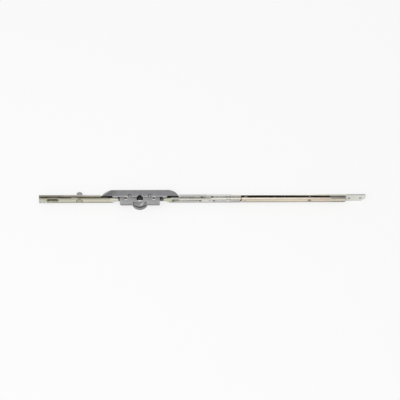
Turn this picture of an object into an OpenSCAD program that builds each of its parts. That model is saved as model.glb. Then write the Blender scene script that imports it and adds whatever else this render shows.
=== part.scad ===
// Window espagnolette gear with faceplates and sliding drive rods.
// X runs along the rods, Y points out of the faceplates and Z is the spindle axis, up to the handle.
// The origin lies on the spindle axis, level with the handle face of the gear case.
// A quarter turn of the hub slides the rack and both rods together towards -X.

/* [Gear case] */
// Length of the case along the rods
case_l = 61.4; // [60:0.2:64]
// Distance from the spindle axis to the case's lower edge
case_below = 9.9; // [8:0.1:12]
// Thickness of the closed case
case_t = 12; // [11.5:0.1:12.5]
// Thickness of the front half
front_t = 4.6; // [4.2:0.1:5]
// How far the rear half stands back from the front half's outline
rear_inset = 0.8; // [0.2:0.1:1.5]
// Distance from the spindle axis to the rear half's lower edge
rear_below = 5.6; // [5.2:0.1:6.4]
// Radius of the rounded lower corner
case_corner_r = 3; // [1:0.1:5]
// Distance between the two handle screws
screw_spacing = 43; // [42:0.1:44]
// Diameter of the handle screw holes
screw_hole_d = 5.6; // [4.5:0.1:6]
// Length of the handle screw holes, down to the pockets behind them
screw_hole_l = 7; // [6.8:0.1:8]
// Diameter of the small index dimple beside the right screw hole
index_d = 1.4; // [0.8:0.1:1.8]
// Depth of the index dimple
index_depth = 0.6; // [0.3:0.1:0.8]
// Distance of the index dimple from the spindle axis, along the rods
index_x = 27.4; // [26.8:0.1:28]
// Distance of the index dimple below the spindle axis
index_drop = 1.3; // [0.9:0.1:1.8]

/* [Boss] */
// Diameter of the round boss behind the hub
boss_d = 24.4; // [23.6:0.2:26]
// Distance of the boss's centre below the spindle axis
boss_drop = 1; // [0.6:0.1:1.4]
// Depth of the boss face below the handle face
boss_recess = 2.2; // [1.6:0.1:2.4]
// Height of the groove round the boss where the case halves meet
boss_groove_h = 1.3; // [0.8:0.1:1.4]
// Depth of that groove
boss_groove_depth = 1.2; // [0.6:0.1:1.6]
// Width of the notch that shows the boss
notch_w = 20.6; // [19:0.1:22]
// Distance from the spindle axis to the notch
notch_drop = 6.2; // [6.1:0.1:7.2]

/* [Hub and rack] */
// Width across the flats of the square spindle
spindle_sq = 7; // [6:0.1:7]
// Clearance on each side of the spindle
spindle_gap = 0.05; // [0.02:0.01:0.1]
// Module of the pinion and rack teeth
tooth_module = 0.75; // [0.74:0.01:0.76]
// Number of teeth round the pinion
pinion_teeth = 18; // [18:1:18]
// Width of the pinion teeth along the spindle
tooth_w = 3.6; // [3:0.1:4]
// Backlash on each flank of a pinion tooth
backlash = 0.12; // [0.06:0.02:0.2]
// Diameter of the hub's two journals
journal_d = 11; // [10.6:0.1:11.2]
// Radial running clearance of journals and roller
run_fit = 0.04; // [0.02:0.01:0.08]
// Depth of the hub's front end below the handle face
hub_recess = 1.2; // [0.6:0.1:1.8]
// Length of the rear journal
rear_journal_l = 5.2; // [2:0.1:6]
// Diameter of the round lead-in of the spindle hole
lead_in_d = 9.4; // [9:0.1:9.6]
// Depth of that lead-in
lead_in_depth = 2.2; // [1:0.1:2.6]
// Width of the rack along the spindle
rack_w = 4.4; // [4:0.1:4.8]
// Distance from the spindle axis to the rack's back
rack_back = 11.7; // [11:0.1:11.8]
// Plain sliding clearance of the rack and rods
slide_gap = 0.4; // [0.3:0.05:0.5]
// Thickness of the legs that join the rack to the rods
leg_t = 3.2; // [2.5:0.1:3.4]
// Clearance between a leg and the end of the case
leg_gap = 0.6; // [0.4:0.1:0.8]
// Thickness of the feet that lie on the rods
foot_t = 1.2; // [0.9:0.05:1.25]
// Length of the left foot with its leg
left_foot_l = 13.2; // [12:0.1:15]
// Length of the right foot with its leg
right_foot_l = 14.2; // [13:0.1:16]

/* [Rack cover] */
// Length of the cover's base
cover_l = 120; // [119:0.5:124]
// Length of the cover's top
cover_top_l = 88; // [87:0.5:92]
// How far the cover's sloping left end swells out
cover_left_swell = 2; // [1.4:0.1:2.4]
// How far the cover's sloping right end swells out
cover_right_swell = 2.9; // [2:0.1:3.2]
// Chamfer along the front edge of the cover's base
cover_chamfer = 0.8; // [0.4:0.1:1]
// Distance from the spindle axis to the cover's base
cover_base = 2; // [1.8:0.1:2.2]
// Height of the cover
cover_h = 11.7; // [11.6:0.1:13]
// Rise of the cover above the handle face
cover_rise = 2; // [1.4:0.1:2.6]
// Width of the lugs of the case that reach into the cover
lug_w = 5.6; // [5:0.1:5.8]
// Height of those lugs
lug_h = 3.5; // [3.4:0.05:3.55]
// Distance of the case rivets from the spindle axis, along the rods
rivet_x = 15.3; // [13.5:0.1:15.4]
// Shank diameter of the case rivets
rivet_d = 2; // [1.6:0.1:2.2]
// Head diameter of the case rivets
rivet_head_d = 3.8; // [3.4:0.1:3.9]
// Height of the case rivets' heads
rivet_head_h = 0.6; // [0.4:0.1:0.8]
// Diameter of the sunk seats of the rivet heads
seat_d = 5.2; // [4.6:0.1:5.6]
// Depth of those seats
seat_depth = 1.5; // [0.8:0.1:1.6]

/* [Faceplates] */
// Width of the faceplates
plate_w = 16; // [15:0.2:18]
// Thickness of the faceplates
plate_t = 2.5; // [2:0.1:3]
// Rise of the faceplates' near edge above the handle face
plate_rise = 3; // [2.2:0.1:3.5]
// Reach of the left faceplate from the spindle axis
left_reach = 155; // [140:1:240]
// Reach of the short right faceplate
stub_reach = 155.5; // [150:0.5:170]
// Reach of the long right faceplate
right_reach = 346.7; // [300:0.1:600]
// Length of the lap joint between the right faceplates
lap_l = 14.5; // [12:0.5:20]
// Clearance between the halves of the lap joint and at faceplate ends
joint_gap = 0.1; // [0.05:0.05:0.3]
// Diameter of the lap rivets
lap_rivet_d = 3; // [2:0.1:4]
// Distance between the lap rivets
lap_rivet_pitch = 7; // [5:0.1:8]
// Length of the tab under the cover
tab_l = 11; // [9:0.1:11.5]
// Width of that tab
tab_w = 8.8; // [7:0.1:9.2]
// Distance of the tab screws from the spindle axis
tab_screw_x = 51.8; // [51.8:0.1:53]
// Shank diameter of the tab screws
tab_screw_d = 2.5; // [2:0.1:2.8]
// Head diameter of the tab screws
tab_head_d = 4.6; // [3.8:0.1:4.8]
// Head height of the tab screws
tab_head_h = 1.2; // [0.8:0.1:1.4]
// Shank length of the tab screws
tab_screw_l = 4.6; // [3.5:0.1:4.8]
// Length of the bare tongue past the right rod
tongue_l = 30.7; // [26:0.1:60]
// Cut-off corner of the tongue
tongue_cut = 7; // [3:0.5:8]
// Diameter of the tongue's screw holes
tongue_hole_d = 4.2; // [3:0.1:5]
// Distance from the tongue's end to the first hole
tongue_hole_inset = 7.7; // [6:0.1:9]
// Distance between the tongue's holes
tongue_hole_pitch = 17.3; // [12:0.1:18]
// Diameter of the two coupling holes in the short right faceplate
stub_hole_d = 3; // [2:0.1:3.6]
// Distance of the first coupling hole from the spindle axis
stub_hole_x = 95.6; // [94:0.1:97]
// Distance between the coupling holes, and between the lobes in line with them
stub_hole_pitch = 15.6; // [14:0.1:17]
// Height of the coupling holes above the handle face
stub_hole_z = 0.5; // [0:0.1:0.8]

/* [Serrated plate] */
// Distance of the serrated plate from the spindle axis
serration_x = 62; // [61.5:0.1:63]
// Length of the serrated plate
serration_l = 40.5; // [38:0.5:44]
// Depth of the plate's lobes
serration_depth = 4.4; // [3:0.1:5]
// Height of the plain band over the lobes
serration_band = 0.8; // [0.6:0.1:1.4]
// Thickness of the serrated plate
serration_t = 0.4; // [0.3:0.05:0.5]

/* [Drive rods] */
// Width of the drive rods
rod_w = 10; // [9.6:0.1:10.4]
// Thickness of the drive rods
rod_t = 2.4; // [2:0.1:2.6]
// Gap between the rods and the faceplates
rod_gap = 1.5; // [1.45:0.05:1.6]
// Distance from the spindle axis to the tip of the left rod
left_tip = 32.6; // [32:0.1:34]
// Distance from the spindle axis to the tip of the right rod
right_tip = 36.2; // [36.2:0.1:37]
// Radius of the rods' rounded tips
tip_r = 1.8; // [1.2:0.1:1.9]
// Depth of the tips' centre below the rods' near edge
tip_z = 3.2; // [3:0.1:3.5]
// Length of the taper behind a tip
taper_l = 8.5; // [6:0.1:9]
// How far the joint of the right rods lies past the short right faceplate
rod_joint_past = 0.5; // [0:0.1:3]
// Gap between the ends of the right rods
rod_joint_gap = 1.2; // [0.6:0.1:2]
// Shank diameter of the rods' rivets
rod_rivet_d = 3; // [2:0.1:3.4]
// Head diameter of the rods' rivets
rod_rivet_head_d = 5; // [4:0.1:6]
// Height of the heads of rivets, screw and cam pin
rod_rivet_head_h = 0.7; // [0.4:0.1:1]
// Distance from a leg to its rivet
foot_rivet_x = 6.2; // [5.5:0.1:7]

/* [Left rod end] */
// Distance from the left rod's end to the coupling slot
hook_slot_inset = 12.5; // [11:0.5:16]
// Length of the coupling slot
hook_slot_l = 16.9; // [12:0.1:20]
// Width of the coupling slot
hook_slot_w = 5; // [4.6:0.1:5.4]
// Depth of the slot's centre line below the rod's near edge
hook_slot_z = 3.9; // [3.6:0.1:4.4]
// Length of the end shoe
shoe_l = 9.5; // [8:0.1:12]
// Width of the end shoe
shoe_w = 4; // [3.6:0.1:4.4]
// Thickness of the end shoe
shoe_t = 0.8; // [0.5:0.1:1.2]
// Depth of the shoe's centre line below the rod's near edge
shoe_z = 6.9; // [6.6:0.1:7.2]

/* [Locking cam] */
// Distance of the cam from the spindle axis
cam_x = 92.9; // [80:0.1:110]
// Diameter of the cam roller
roller_d = 9; // [8:0.1:10]
// Length of the cam roller
roller_l = 7; // [5:0.1:8]
// Diameter of the cam pin in the roller
cam_pin_d = 5; // [4:0.1:5.6]
// Diameter of the cam pin's shoulder in the faceplate's slot
cam_shoulder_d = 6; // [5.8:0.1:6.6]
// Side clearance of pins in the faceplates' slots
pin_slot_gap = 0.3; // [0.2:0.05:0.5]
// Play of the roller along its pin
roller_play = 0.2; // [0.1:0.05:0.4]
// Diameter of the cam pin's domed cap
cam_cap_d = 7.6; // [6.5:0.1:8.4]
// Height of the cam pin's domed cap
cam_cap_h = 1.1; // [0.8:0.1:1.6]
// Diameter of the cam pin's riveted head on the rod
cam_head_d = 8.4; // [7:0.1:9]

/* [Right rod] */
// Start of the narrow slot of the right gear rod
narrow_slot_x = 65; // [62:0.5:68]
// Length of the narrow slot
narrow_slot_l = 29; // [20:0.5:30]
// Width of the narrow slot
narrow_slot_w = 1.4; // [1:0.1:2]
// Diameter of the eye at the slot's far end
slot_eye_d = 2.4; // [2:0.1:3]
// Distance of the small rod hole from the spindle axis
rod_hole_x = 114; // [112.5:0.5:118]
// Diameter of the small rod hole
rod_hole_d = 2.4; // [1.5:0.1:3]
// How far the rod coupler reaches back from the joint of the rods
coupler_lead = 53; // [50:0.5:56]
// How far the rod coupler reaches past the joint of the rods
coupler_reach = 9.5; // [8:0.1:14]
// Thickness of the rod coupler
coupler_t = 0.8; // [0.6:0.05:0.85]
// Side margin of the coupler inside the rod's width
coupler_margin = 0.6; // [0.3:0.1:1.5]
// Distance from the joint of the rods to the coupler screw
coupler_screw_inset = 20.5; // [14:0.1:26]
// Distance of the coupler's rivets from its ends
coupler_rivet_inset = 4.2; // [3:0.1:4.4]
// Width of the coupler screw's driver slot
driver_slot_w = 0.8; // [0.5:0.1:1]
// Depth of the driver slots
driver_slot_depth = 0.4; // [0.2:0.05:0.5]
// Distance from the right rod's end to the guide rivet
guide_inset = 55.3; // [40:0.1:80]
// Diameter of the guide rivet's shank
guide_d = 4.4; // [3.6:0.1:5]
// Diameter of the guide rivet's head
guide_head_d = 5.6; // [5.2:0.1:6.5]
// Length of the end block
block_l = 21; // [16:0.5:26]
// Rise of the end block above the rod's near edge
block_rise = 1; // [0.4:0.1:1.5]
// Thickness of the end block
block_t = 1.2; // [0.8:0.05:1.25]
// Distance of the end block's rivets from its ends
block_rivet_inset = 5; // [4:0.1:6]
// Rounding of the right rod's end corner
rod_end_r = 2; // [1:0.1:3]

/* [Hidden] */
$fn = 64;

// How far a cut runs past the face that it opens
over = 1;
// Clearance of a rivet or screw in its hole
hole_gap = 0.05;
// Pressure angle of the teeth
pressure = 20;
// Dedendum in modules
dedendum = 1.25;
// Points along each flank of a pinion tooth
flank_steps = 5;
// Sides of the half circle at a rod's tip
tip_steps = 12;
// Points along the wavy edge of the serrated plate
wave_steps = 40;
// Sides along each sloping end of the cover
end_steps = 12;
// Teeth of the rack past each end of its working stretch
spare_teeth = 3;
// Swing of the hub from the closed to the open position
hub_swing = 90;
// Direction of the rack, seen from the hub
rack_direction = 90;

half_l = case_l / 2;
mid_z = -rod_w / 2;
plate_in = cover_base;
plate_out = plate_in + plate_t;
plate_top = plate_rise;
plate_bottom = plate_rise - plate_w;
rod_out = plate_in - rod_gap;
rod_in = rod_out - rod_t;
cover_front = cover_rise;
cover_back = -case_t;
cover_top = cover_base + cover_h;
boss_back = plate_bottom;

pitch_r = tooth_module * pinion_teeth / 2;
tip_radius = pitch_r + tooth_module;
root_radius = pitch_r - dedendum * tooth_module;
base_radius = pitch_r * cos(pressure);
rack_pitch = PI * tooth_module;
rack_tip = pitch_r - tooth_module;
rack_root = pitch_r + dedendum * tooth_module;
stroke = pitch_r * hub_swing * PI / 180;
pocket_r = tip_radius + slide_gap;
pocket_w = tooth_w + 2 * slide_gap;
channel_w = rack_w + 2 * slide_gap;
channel_top = rack_back + slide_gap;

left_leg = -half_l - leg_gap;
right_leg = half_l + leg_gap + stroke;
channel_half = right_leg + leg_t + leg_gap;
tab_end = cover_l / 2 - tab_l;
plate_start = cover_l / 2 + joint_gap;
left_rivet = left_leg - leg_t - foot_rivet_x;
right_rivet = right_leg + leg_t + foot_rivet_x;
rivet_y = cover_base + rivet_head_d / 2 + joint_gap;
screw_pocket_w = screw_hole_d + 2 * slide_gap;
screw_pocket_top = rack_tip - slide_gap;
tip_high = tip_r - tip_z;
tip_low = -tip_r - tip_z;
inner_tip = right_tip - stroke;
lap_start = stub_reach - lap_l;
lap_mid = plate_in + plate_t / 2;
rod_end = right_reach - tongue_l;
hook_slot_x = left_reach - hook_slot_inset;
rod_joint = stub_reach + rod_joint_past;
coupler_x = rod_joint - coupler_lead;
coupler_end = rod_joint + coupler_reach;
coupler_screw_x = rod_joint - coupler_screw_inset;
guide_x = rod_end - guide_inset;
roller_start = plate_out + pin_slot_gap;
roller_end = roller_start + roller_l;
cap_start = roller_end + roller_play;

function involute_angle(a) = tan(a) * 180 / PI - a;
function polar(r, a) = [r * cos(a), r * sin(a)];

// Both ends of a stretch of a width about its middle
function around(middle, width) = [middle - width / 2, middle + width / 2];

// A stretch from a to b on the right, mirrored on the left
function mirrored(side, a, b) = side > 0 ? [a, b] : [-b, -a];

// Half of a pinion tooth's angle at a radius
function tooth_half_angle(r) =
    let (
        flank = r > base_radius ? acos(base_radius / r) : 0,
        play = backlash / pitch_r * 180 / PI
    )
    360 / pinion_teeth / 4 - play + involute_angle(pressure) - involute_angle(flank);

function flank_radius(i) = root_radius + (tip_radius - root_radius) * i / flank_steps;

// Point i along an end of the cover that faces right, from the top to the base
function cover_end(i, bulge) =
    let (
        t = i / end_steps,
        run = (cover_l - cover_top_l) / 2,
        swell = 4 * bulge * t * (1 - t) / norm([run, cover_h])
    )
    [cover_top_l / 2 + run * t + cover_h * swell, cover_top - cover_h * t + run * swell];

// Box between two corners
module span(x, y, z) {
    translate([x[0], y[0], z[0]]) cube([x[1] - x[0], y[1] - y[0], z[1] - z[0]]);
}

// Round bar along Y
module round_y(d, y, x, z) {
    translate([x, y[0], z]) rotate([-90, 0, 0]) cylinder(d = d, h = y[1] - y[0]);
}

// Round bar along Z
module round_z(d, z, x = 0, y = 0) {
    translate([x, y, z[0]]) cylinder(d = d, h = z[1] - z[0]);
}

// Outline in X and Z with a thickness in Y
module sheet(y) {
    translate([0, y[1], 0]) rotate([90, 0, 0]) linear_extrude(y[1] - y[0]) children();
}

// Slot with round ends, cut along Y; the end centres lie at x[0] and x[1]
module round_slot(x, w, z, y) {
    span(x, y, around(z, w));
    for (end = x) round_y(w, y, end, z);
}

// Rivet along Y with a shank through the given stretch and a domed head on the rods' inner face
module headed_rivet(x, z, d, head_d, y_end) {
    round_y(d, [rod_in, y_end], x, z);
    translate([x, rod_in, z]) rotate([90, 0, 0]) domed_head(head_d, rod_rivet_head_h);
}

// Low round head with a chamfered rim
module domed_head(d, h) {
    rotate_extrude() polygon([[0, 0], [d / 2, 0], [d / 2, h / 2], [d / 2 - h / 2, h], [0, h]]);
}

// Outline of a case half, with its lower left corner rounded
module case_outline(inset, below) {
    side = half_l - inset;
    r = case_corner_r;
    translate([-side + r, -below]) square([2 * side - r, cover_base + below]);
    translate([-side, -below + r]) square([2 * side, cover_base + below - r]);
    translate([-side + r, -below + r]) circle(r);
}

// Lugs of the case that reach into the cover's channel
module case_lugs(z) {
    for (side = [-1, 1])
        span(around(side * rivet_x, lug_w), [cover_base - over, cover_base + lug_h], z);
}

// Everything bored through the case from front to back
module case_bores() {
    depth = [boss_back - over, over];
    round_z(journal_d + 2 * run_fit, depth);
    for (side = [-1, 1]) {
        round_z(screw_hole_d, depth, side * screw_spacing / 2);
        round_z(rivet_d + 2 * hole_gap, depth, side * rivet_x, rivet_y);
    }
}

// Pockets behind the handle screw holes, which reach up to the rack
module screw_pockets() {
    for (side = [-1, 1])
        span(
            around(side * screw_spacing / 2, screw_pocket_w),
            [-screw_pocket_w / 2, screw_pocket_top],
            [boss_back - over, -screw_hole_l]
        );
}

// Flared pocket that clears a rod's tapered tip at the end of its stroke; side is 1 on the right
module rod_pocket(side) {
    neck = inner_tip + tip_r;
    mouth = half_l + over;
    flare = (mouth - neck) / taper_l;
    high = [tip_high + slide_gap, tip_high * (1 - flare) + slide_gap];
    low = [tip_low - slide_gap, tip_low - (rod_w + tip_low) * flare - slide_gap];
    points = [
        [inner_tip - leg_gap, high[0]], [neck, high[0]], [mouth, high[1]],
        [mouth, low[1]], [neck, low[0]], [inner_tip - leg_gap, low[0]]
    ];
    sheet([rod_in - slide_gap, rod_out + slide_gap])
        polygon([for (point = points) [side * point[0], point[1]]]);
}

// Hollows inside the case for the pinion and the rod tips
module case_hollows() {
    round_z(2 * pocket_r, around(mid_z, pocket_w));
    for (side = [-1, 1]) rod_pocket(side);
}

// Half of the round boss that lies under the cover's base
module half_boss(d, z) {
    intersection() {
        round_z(d, z, 0, -boss_drop);
        span(around(0, 2 * d), [-boss_drop - d, cover_base], z);
    }
}

module front_case() {
    color("darkgray") difference() {
        union() {
            difference() {
                translate([0, 0, -front_t]) linear_extrude(front_t) case_outline(0, case_below);
                span(around(0, notch_w), [-case_below - over, -notch_drop], [-boss_recess, over]);
            }
            half_boss(boss_d, [-front_t + boss_groove_h, -boss_recess]);
            half_boss(boss_d - 2 * boss_groove_depth, [-front_t, -boss_recess]);
            case_lugs([-front_t, mid_z + pocket_w / 2]);
        }
        case_bores();
        case_hollows();
        round_z(index_d, [-index_depth, over], index_x, -index_drop);
    }
}

module rear_case() {
    color("gray") difference() {
        union() {
            translate([0, 0, -case_t]) linear_extrude(case_t - front_t)
                case_outline(rear_inset, rear_below);
            half_boss(boss_d, [boss_back, -front_t]);
            case_lugs([mid_z - pocket_w / 2, -front_t]);
        }
        case_bores();
        case_hollows();
        screw_pockets();
    }
}

// Outline of the cover with its swelling ends
module cover_outline() {
    right = [for (i = [0 : end_steps]) cover_end(i, cover_right_swell)];
    left = [for (i = [0 : end_steps]) let (p = cover_end(end_steps - i, cover_left_swell)) [-p[0], p[1]]];
    polygon(concat(right, left));
}

module rack_cover() {
    through = [cover_back - over, cover_front + over];
    front_seat = [cover_front - seat_depth, cover_front + over];
    back_seat = [cover_back - over, cover_back + seat_depth];
    color("slategray") difference() {
        translate([0, 0, cover_back]) linear_extrude(cover_front - cover_back) cover_outline();
        translate([0, cover_base, cover_front]) rotate([45, 0, 0])
            cube([2 * cover_l, cover_chamfer * sqrt(2), cover_chamfer * sqrt(2)], center = true);
        span(around(0, 2 * channel_half), [cover_base - over, channel_top], around(mid_z, channel_w));
        round_z(journal_d + 2 * run_fit, through);
        screw_pockets();
        for (side = [-1, 1]) {
            round_z(screw_pocket_w, through, side * screw_spacing / 2);
            span(
                mirrored(side, tab_end - joint_gap, cover_l / 2 + over),
                [cover_base - over, plate_out + joint_gap],
                around(mid_z, tab_w + 2 * joint_gap)
            );
            round_y(
                tab_screw_d + 2 * hole_gap,
                [plate_in, plate_in + tab_head_h + tab_screw_l + joint_gap],
                side * tab_screw_x, mid_z
            );
            round_z(rivet_d + 2 * hole_gap, through, side * rivet_x, rivet_y);
            for (seat = [front_seat, back_seat]) round_z(seat_d, seat, side * rivet_x, rivet_y);
        }
    }
}

module case_rivets() {
    front = cover_front - seat_depth;
    back = cover_back + seat_depth;
    color("silver") for (side = [-1, 1]) translate([side * rivet_x, rivet_y, 0]) {
        round_z(rivet_d, [back, front]);
        translate([0, 0, front]) domed_head(rivet_head_d, rivet_head_h);
        translate([0, 0, back]) rotate([180, 0, 0]) domed_head(rivet_head_d, rivet_head_h);
    }
}

// Tab of a faceplate under the cover, with the seat of its screw
module plate_tab(side) {
    difference() {
        span(
            mirrored(side, tab_end, plate_start + over),
            [plate_in, plate_out],
            around(mid_z, tab_w)
        );
        round_y(tab_screw_d + 2 * hole_gap, [plate_in, plate_out + over], side * tab_screw_x, mid_z);
        round_y(
            tab_head_d + 2 * hole_gap, [plate_in - over, plate_in + tab_head_h],
            side * tab_screw_x, mid_z
        );
    }
}

module left_faceplate() {
    color("silver") {
        difference() {
            span([-left_reach, -plate_start], [plate_in, plate_out], [plate_bottom, plate_top]);
            round_slot(
                [-cam_x - stroke, -cam_x], cam_shoulder_d + 2 * pin_slot_gap, mid_z,
                [plate_in - over, plate_out + over]
            );
        }
        plate_tab(-1);
    }
}

module faceplate_screws() {
    color("gainsboro") for (side = [-1, 1]) difference() {
        union() {
            round_y(tab_head_d, [plate_in, plate_in + tab_head_h], side * tab_screw_x, mid_z);
            round_y(
                tab_screw_d, [plate_in + tab_head_h, plate_in + tab_head_h + tab_screw_l],
                side * tab_screw_x, mid_z
            );
        }
        span(
            around(side * tab_screw_x, 2 * tab_head_d),
            [plate_in - over, plate_in + driver_slot_depth],
            around(mid_z, driver_slot_w)
        );
    }
}

// Holes of the two rivets through the lap joint
module lap_rivet_shafts(d, y) {
    for (end = [-1, 1])
        round_y(d, y, stub_reach - lap_l / 2 + end * lap_rivet_pitch / 2, mid_z);
}

// The two coupling holes, in line with the lobes of the serrated plate
module coupling_holes(y) {
    for (i = [0, 1]) round_y(stub_hole_d, y, stub_hole_x + i * stub_hole_pitch, stub_hole_z);
}

module right_stub_faceplate() {
    color("lightgray") {
        difference() {
            span([plate_start, stub_reach], [plate_in, plate_out], [plate_bottom, plate_top]);
            span(
                [lap_start - joint_gap, stub_reach + over],
                [lap_mid, plate_out + over],
                [plate_bottom - over, plate_top + over]
            );
            coupling_holes([plate_in - over, plate_out + over]);
            lap_rivet_shafts(lap_rivet_d + 2 * hole_gap, [plate_in - over, plate_out + over]);
        }
        plate_tab(1);
    }
}

// Height of the serrated plate's wavy edge, lowest in line with the coupling holes
function wave_z(x) =
    plate_top - serration_band
    - serration_depth * (1 + cos(360 * (x - stub_hole_x) / stub_hole_pitch)) / 2;

module serrated_plate() {
    edge = [for (i = [0 : wave_steps]) serration_x + serration_l * i / wave_steps];
    color("gainsboro") difference() {
        sheet([plate_in - serration_t, plate_in]) polygon(concat(
            [for (x = edge) [x, wave_z(x)]],
            [[serration_x + serration_l, plate_top], [serration_x, plate_top]]
        ));
        coupling_holes([plate_in - serration_t - over, plate_in + over]);
    }
}

module lap_rivets() {
    color("gainsboro") lap_rivet_shafts(lap_rivet_d, [plate_in, plate_out]);
}

module right_faceplate() {
    color("gainsboro") difference() {
        union() {
            sheet([plate_in, plate_out]) polygon([
                [stub_reach + joint_gap, plate_bottom], [right_reach - tongue_cut, plate_bottom],
                [right_reach, plate_bottom + tongue_cut], [right_reach, plate_top],
                [stub_reach + joint_gap, plate_top]
            ]);
            span(
                [lap_start, stub_reach + joint_gap + over],
                [lap_mid + joint_gap / 2, plate_out],
                [plate_bottom, plate_top]
            );
        }
        lap_rivet_shafts(lap_rivet_d + 2 * hole_gap, [plate_in - over, plate_out + over]);
        round_slot(
            [guide_x - stroke, guide_x], guide_d + 2 * pin_slot_gap, mid_z,
            [plate_in - over, plate_out + over]
        );
        for (i = [0, 1])
            round_y(
                tongue_hole_d, [plate_in - over, plate_out + over],
                right_reach - tongue_hole_inset - i * tongue_hole_pitch, mid_z
            );
    }
}

module hub_pinion() {
    hub_back = mid_z - tooth_w / 2 - rear_journal_l;
    hole = around(0, spindle_sq + 2 * spindle_gap);
    color("dimgray") difference() {
        union() {
            translate([0, 0, mid_z - tooth_w / 2]) linear_extrude(tooth_w) polygon([
                for (tooth = [0 : pinion_teeth - 1])
                    let (middle = rack_direction + tooth * 360 / pinion_teeth)
                    each concat(
                        [for (i = [0 : flank_steps])
                            polar(flank_radius(i), middle - tooth_half_angle(flank_radius(i)))],
                        [for (i = [flank_steps : -1 : 0])
                            polar(flank_radius(i), middle + tooth_half_angle(flank_radius(i)))]
                    )
            ]);
            round_z(journal_d, [hub_back, -hub_recess]);
        }
        span(hole, hole, [hub_back - over, over]);
        round_z(lead_in_d, [-hub_recess - lead_in_depth, over]);
    }
}

// Tooth spaces along the working stretch of the rack
module rack_spaces() {
    last = round(stroke / rack_pitch) + spare_teeth;
    root_half = rack_pitch / 4 - dedendum * tooth_module * tan(pressure);
    open_y = rack_tip - over;
    open_half = rack_pitch / 4 + (pitch_r - open_y) * tan(pressure);
    for (i = [-spare_teeth : last])
        translate([i * rack_pitch, 0, mid_z - rack_w / 2 - over]) linear_extrude(rack_w + 2 * over) polygon([
            [-open_half, open_y], [open_half, open_y], [root_half, rack_root], [-root_half, rack_root]
        ]);
}

module rack_slider() {
    depth = around(mid_z, rack_w);
    foot = [rod_out, rod_out + foot_t];
    color("darkgray") difference() {
        union() {
            difference() {
                span([left_leg - leg_t, right_leg + leg_t], [rack_tip, rack_back], depth);
                rack_spaces();
            }
            span([left_leg - leg_t, left_leg], [rod_out, rack_root], depth);
            span([right_leg, right_leg + leg_t], [rod_out, rack_root], depth);
            span([left_leg - left_foot_l, left_leg], foot, depth);
            span([right_leg, right_leg + right_foot_l], foot, depth);
        }
        for (x = [left_rivet, right_rivet])
            round_y(rod_rivet_d + 2 * hole_gap, [rod_out - over, rod_out + foot_t + over], x, mid_z);
    }
}

module foot_rivets() {
    color("gainsboro") for (x = [left_rivet, right_rivet])
        headed_rivet(x, mid_z, rod_rivet_d, rod_rivet_head_d, rod_out + foot_t);
}

// Outline of a rod from its tapered, rounded tip to its far end; side is 1 on the right
module rod_outline(side, tip, end) {
    centre = [tip + tip_r, -tip_z];
    shoulder = centre[0] + taper_l;
    half_circle = [for (i = [0 : tip_steps]) centre + polar(tip_r, 90 + 180 * i / tip_steps)];
    points = concat(half_circle, [[shoulder, -rod_w], [end, -rod_w], [end, 0], [shoulder, 0]]);
    polygon([for (point = points) [side * point[0], point[1]]]);
}

module left_drive_rod() {
    through = [rod_in - over, rod_out + over];
    color("tan") difference() {
        sheet([rod_in, rod_out]) rod_outline(-1, left_tip, left_reach);
        round_slot(
            [-hook_slot_x + hook_slot_w / 2, -hook_slot_x + hook_slot_l - hook_slot_w / 2],
            hook_slot_w, -hook_slot_z, through
        );
        round_y(rod_rivet_d + 2 * hole_gap, through, left_rivet, mid_z);
        round_y(cam_pin_d + 2 * hole_gap, through, -cam_x, mid_z);
        round_y(rod_rivet_d + 2 * hole_gap, through, -hook_slot_x - shoe_l / 2, -shoe_z);
    }
}

module left_end_shoe() {
    color("silver") difference() {
        span(
            [-hook_slot_x - shoe_l, -hook_slot_x], [rod_in - shoe_t, rod_in],
            around(-shoe_z, shoe_w)
        );
        round_y(
            rod_rivet_d + 2 * hole_gap, [rod_in - shoe_t - over, rod_in + over],
            -hook_slot_x - shoe_l / 2, -shoe_z
        );
    }
}

module shoe_rivet() {
    color("gainsboro") round_y(rod_rivet_d, [rod_in - shoe_t, rod_out], -hook_slot_x - shoe_l / 2, -shoe_z);
}

module cam_pin() {
    color("silver") {
        headed_rivet(-cam_x, mid_z, cam_pin_d, cam_head_d, cap_start);
        round_y(cam_shoulder_d, [rod_out, roller_start], -cam_x, mid_z);
        translate([-cam_x, cap_start, mid_z]) rotate([-90, 0, 0]) domed_head(cam_cap_d, cam_cap_h);
    }
}

module cam_roller() {
    color("lightgray") difference() {
        round_y(roller_d, [roller_start + roller_play / 2, roller_end], -cam_x, mid_z);
        round_y(cam_pin_d + 2 * run_fit, [roller_start - over, roller_end + over], -cam_x, mid_z);
    }
}

module right_gear_rod() {
    through = [rod_in - over, rod_out + over];
    color("lightgray") difference() {
        sheet([rod_in, rod_out]) rod_outline(1, right_tip, rod_joint - rod_joint_gap / 2);
        round_slot(
            [narrow_slot_x + narrow_slot_w / 2, narrow_slot_x + narrow_slot_l - narrow_slot_w / 2],
            narrow_slot_w, mid_z, through
        );
        round_y(slot_eye_d, through, narrow_slot_x + narrow_slot_l - slot_eye_d / 2, mid_z);
        round_y(rod_hole_d, through, rod_hole_x, mid_z);
        for (x = [right_rivet, coupler_x + coupler_rivet_inset, coupler_screw_x])
            round_y(rod_rivet_d + 2 * hole_gap, through, x, mid_z);
    }
}

module rod_coupler() {
    color("silver") difference() {
        span(
            [coupler_x, coupler_end], [rod_out, rod_out + coupler_t],
            [-rod_w + coupler_margin, -coupler_margin]
        );
        for (x = [coupler_x + coupler_rivet_inset, coupler_screw_x, coupler_end - coupler_rivet_inset])
            round_y(rod_rivet_d + 2 * hole_gap, [rod_out - over, rod_out + coupler_t + over], x, mid_z);
    }
}

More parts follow.
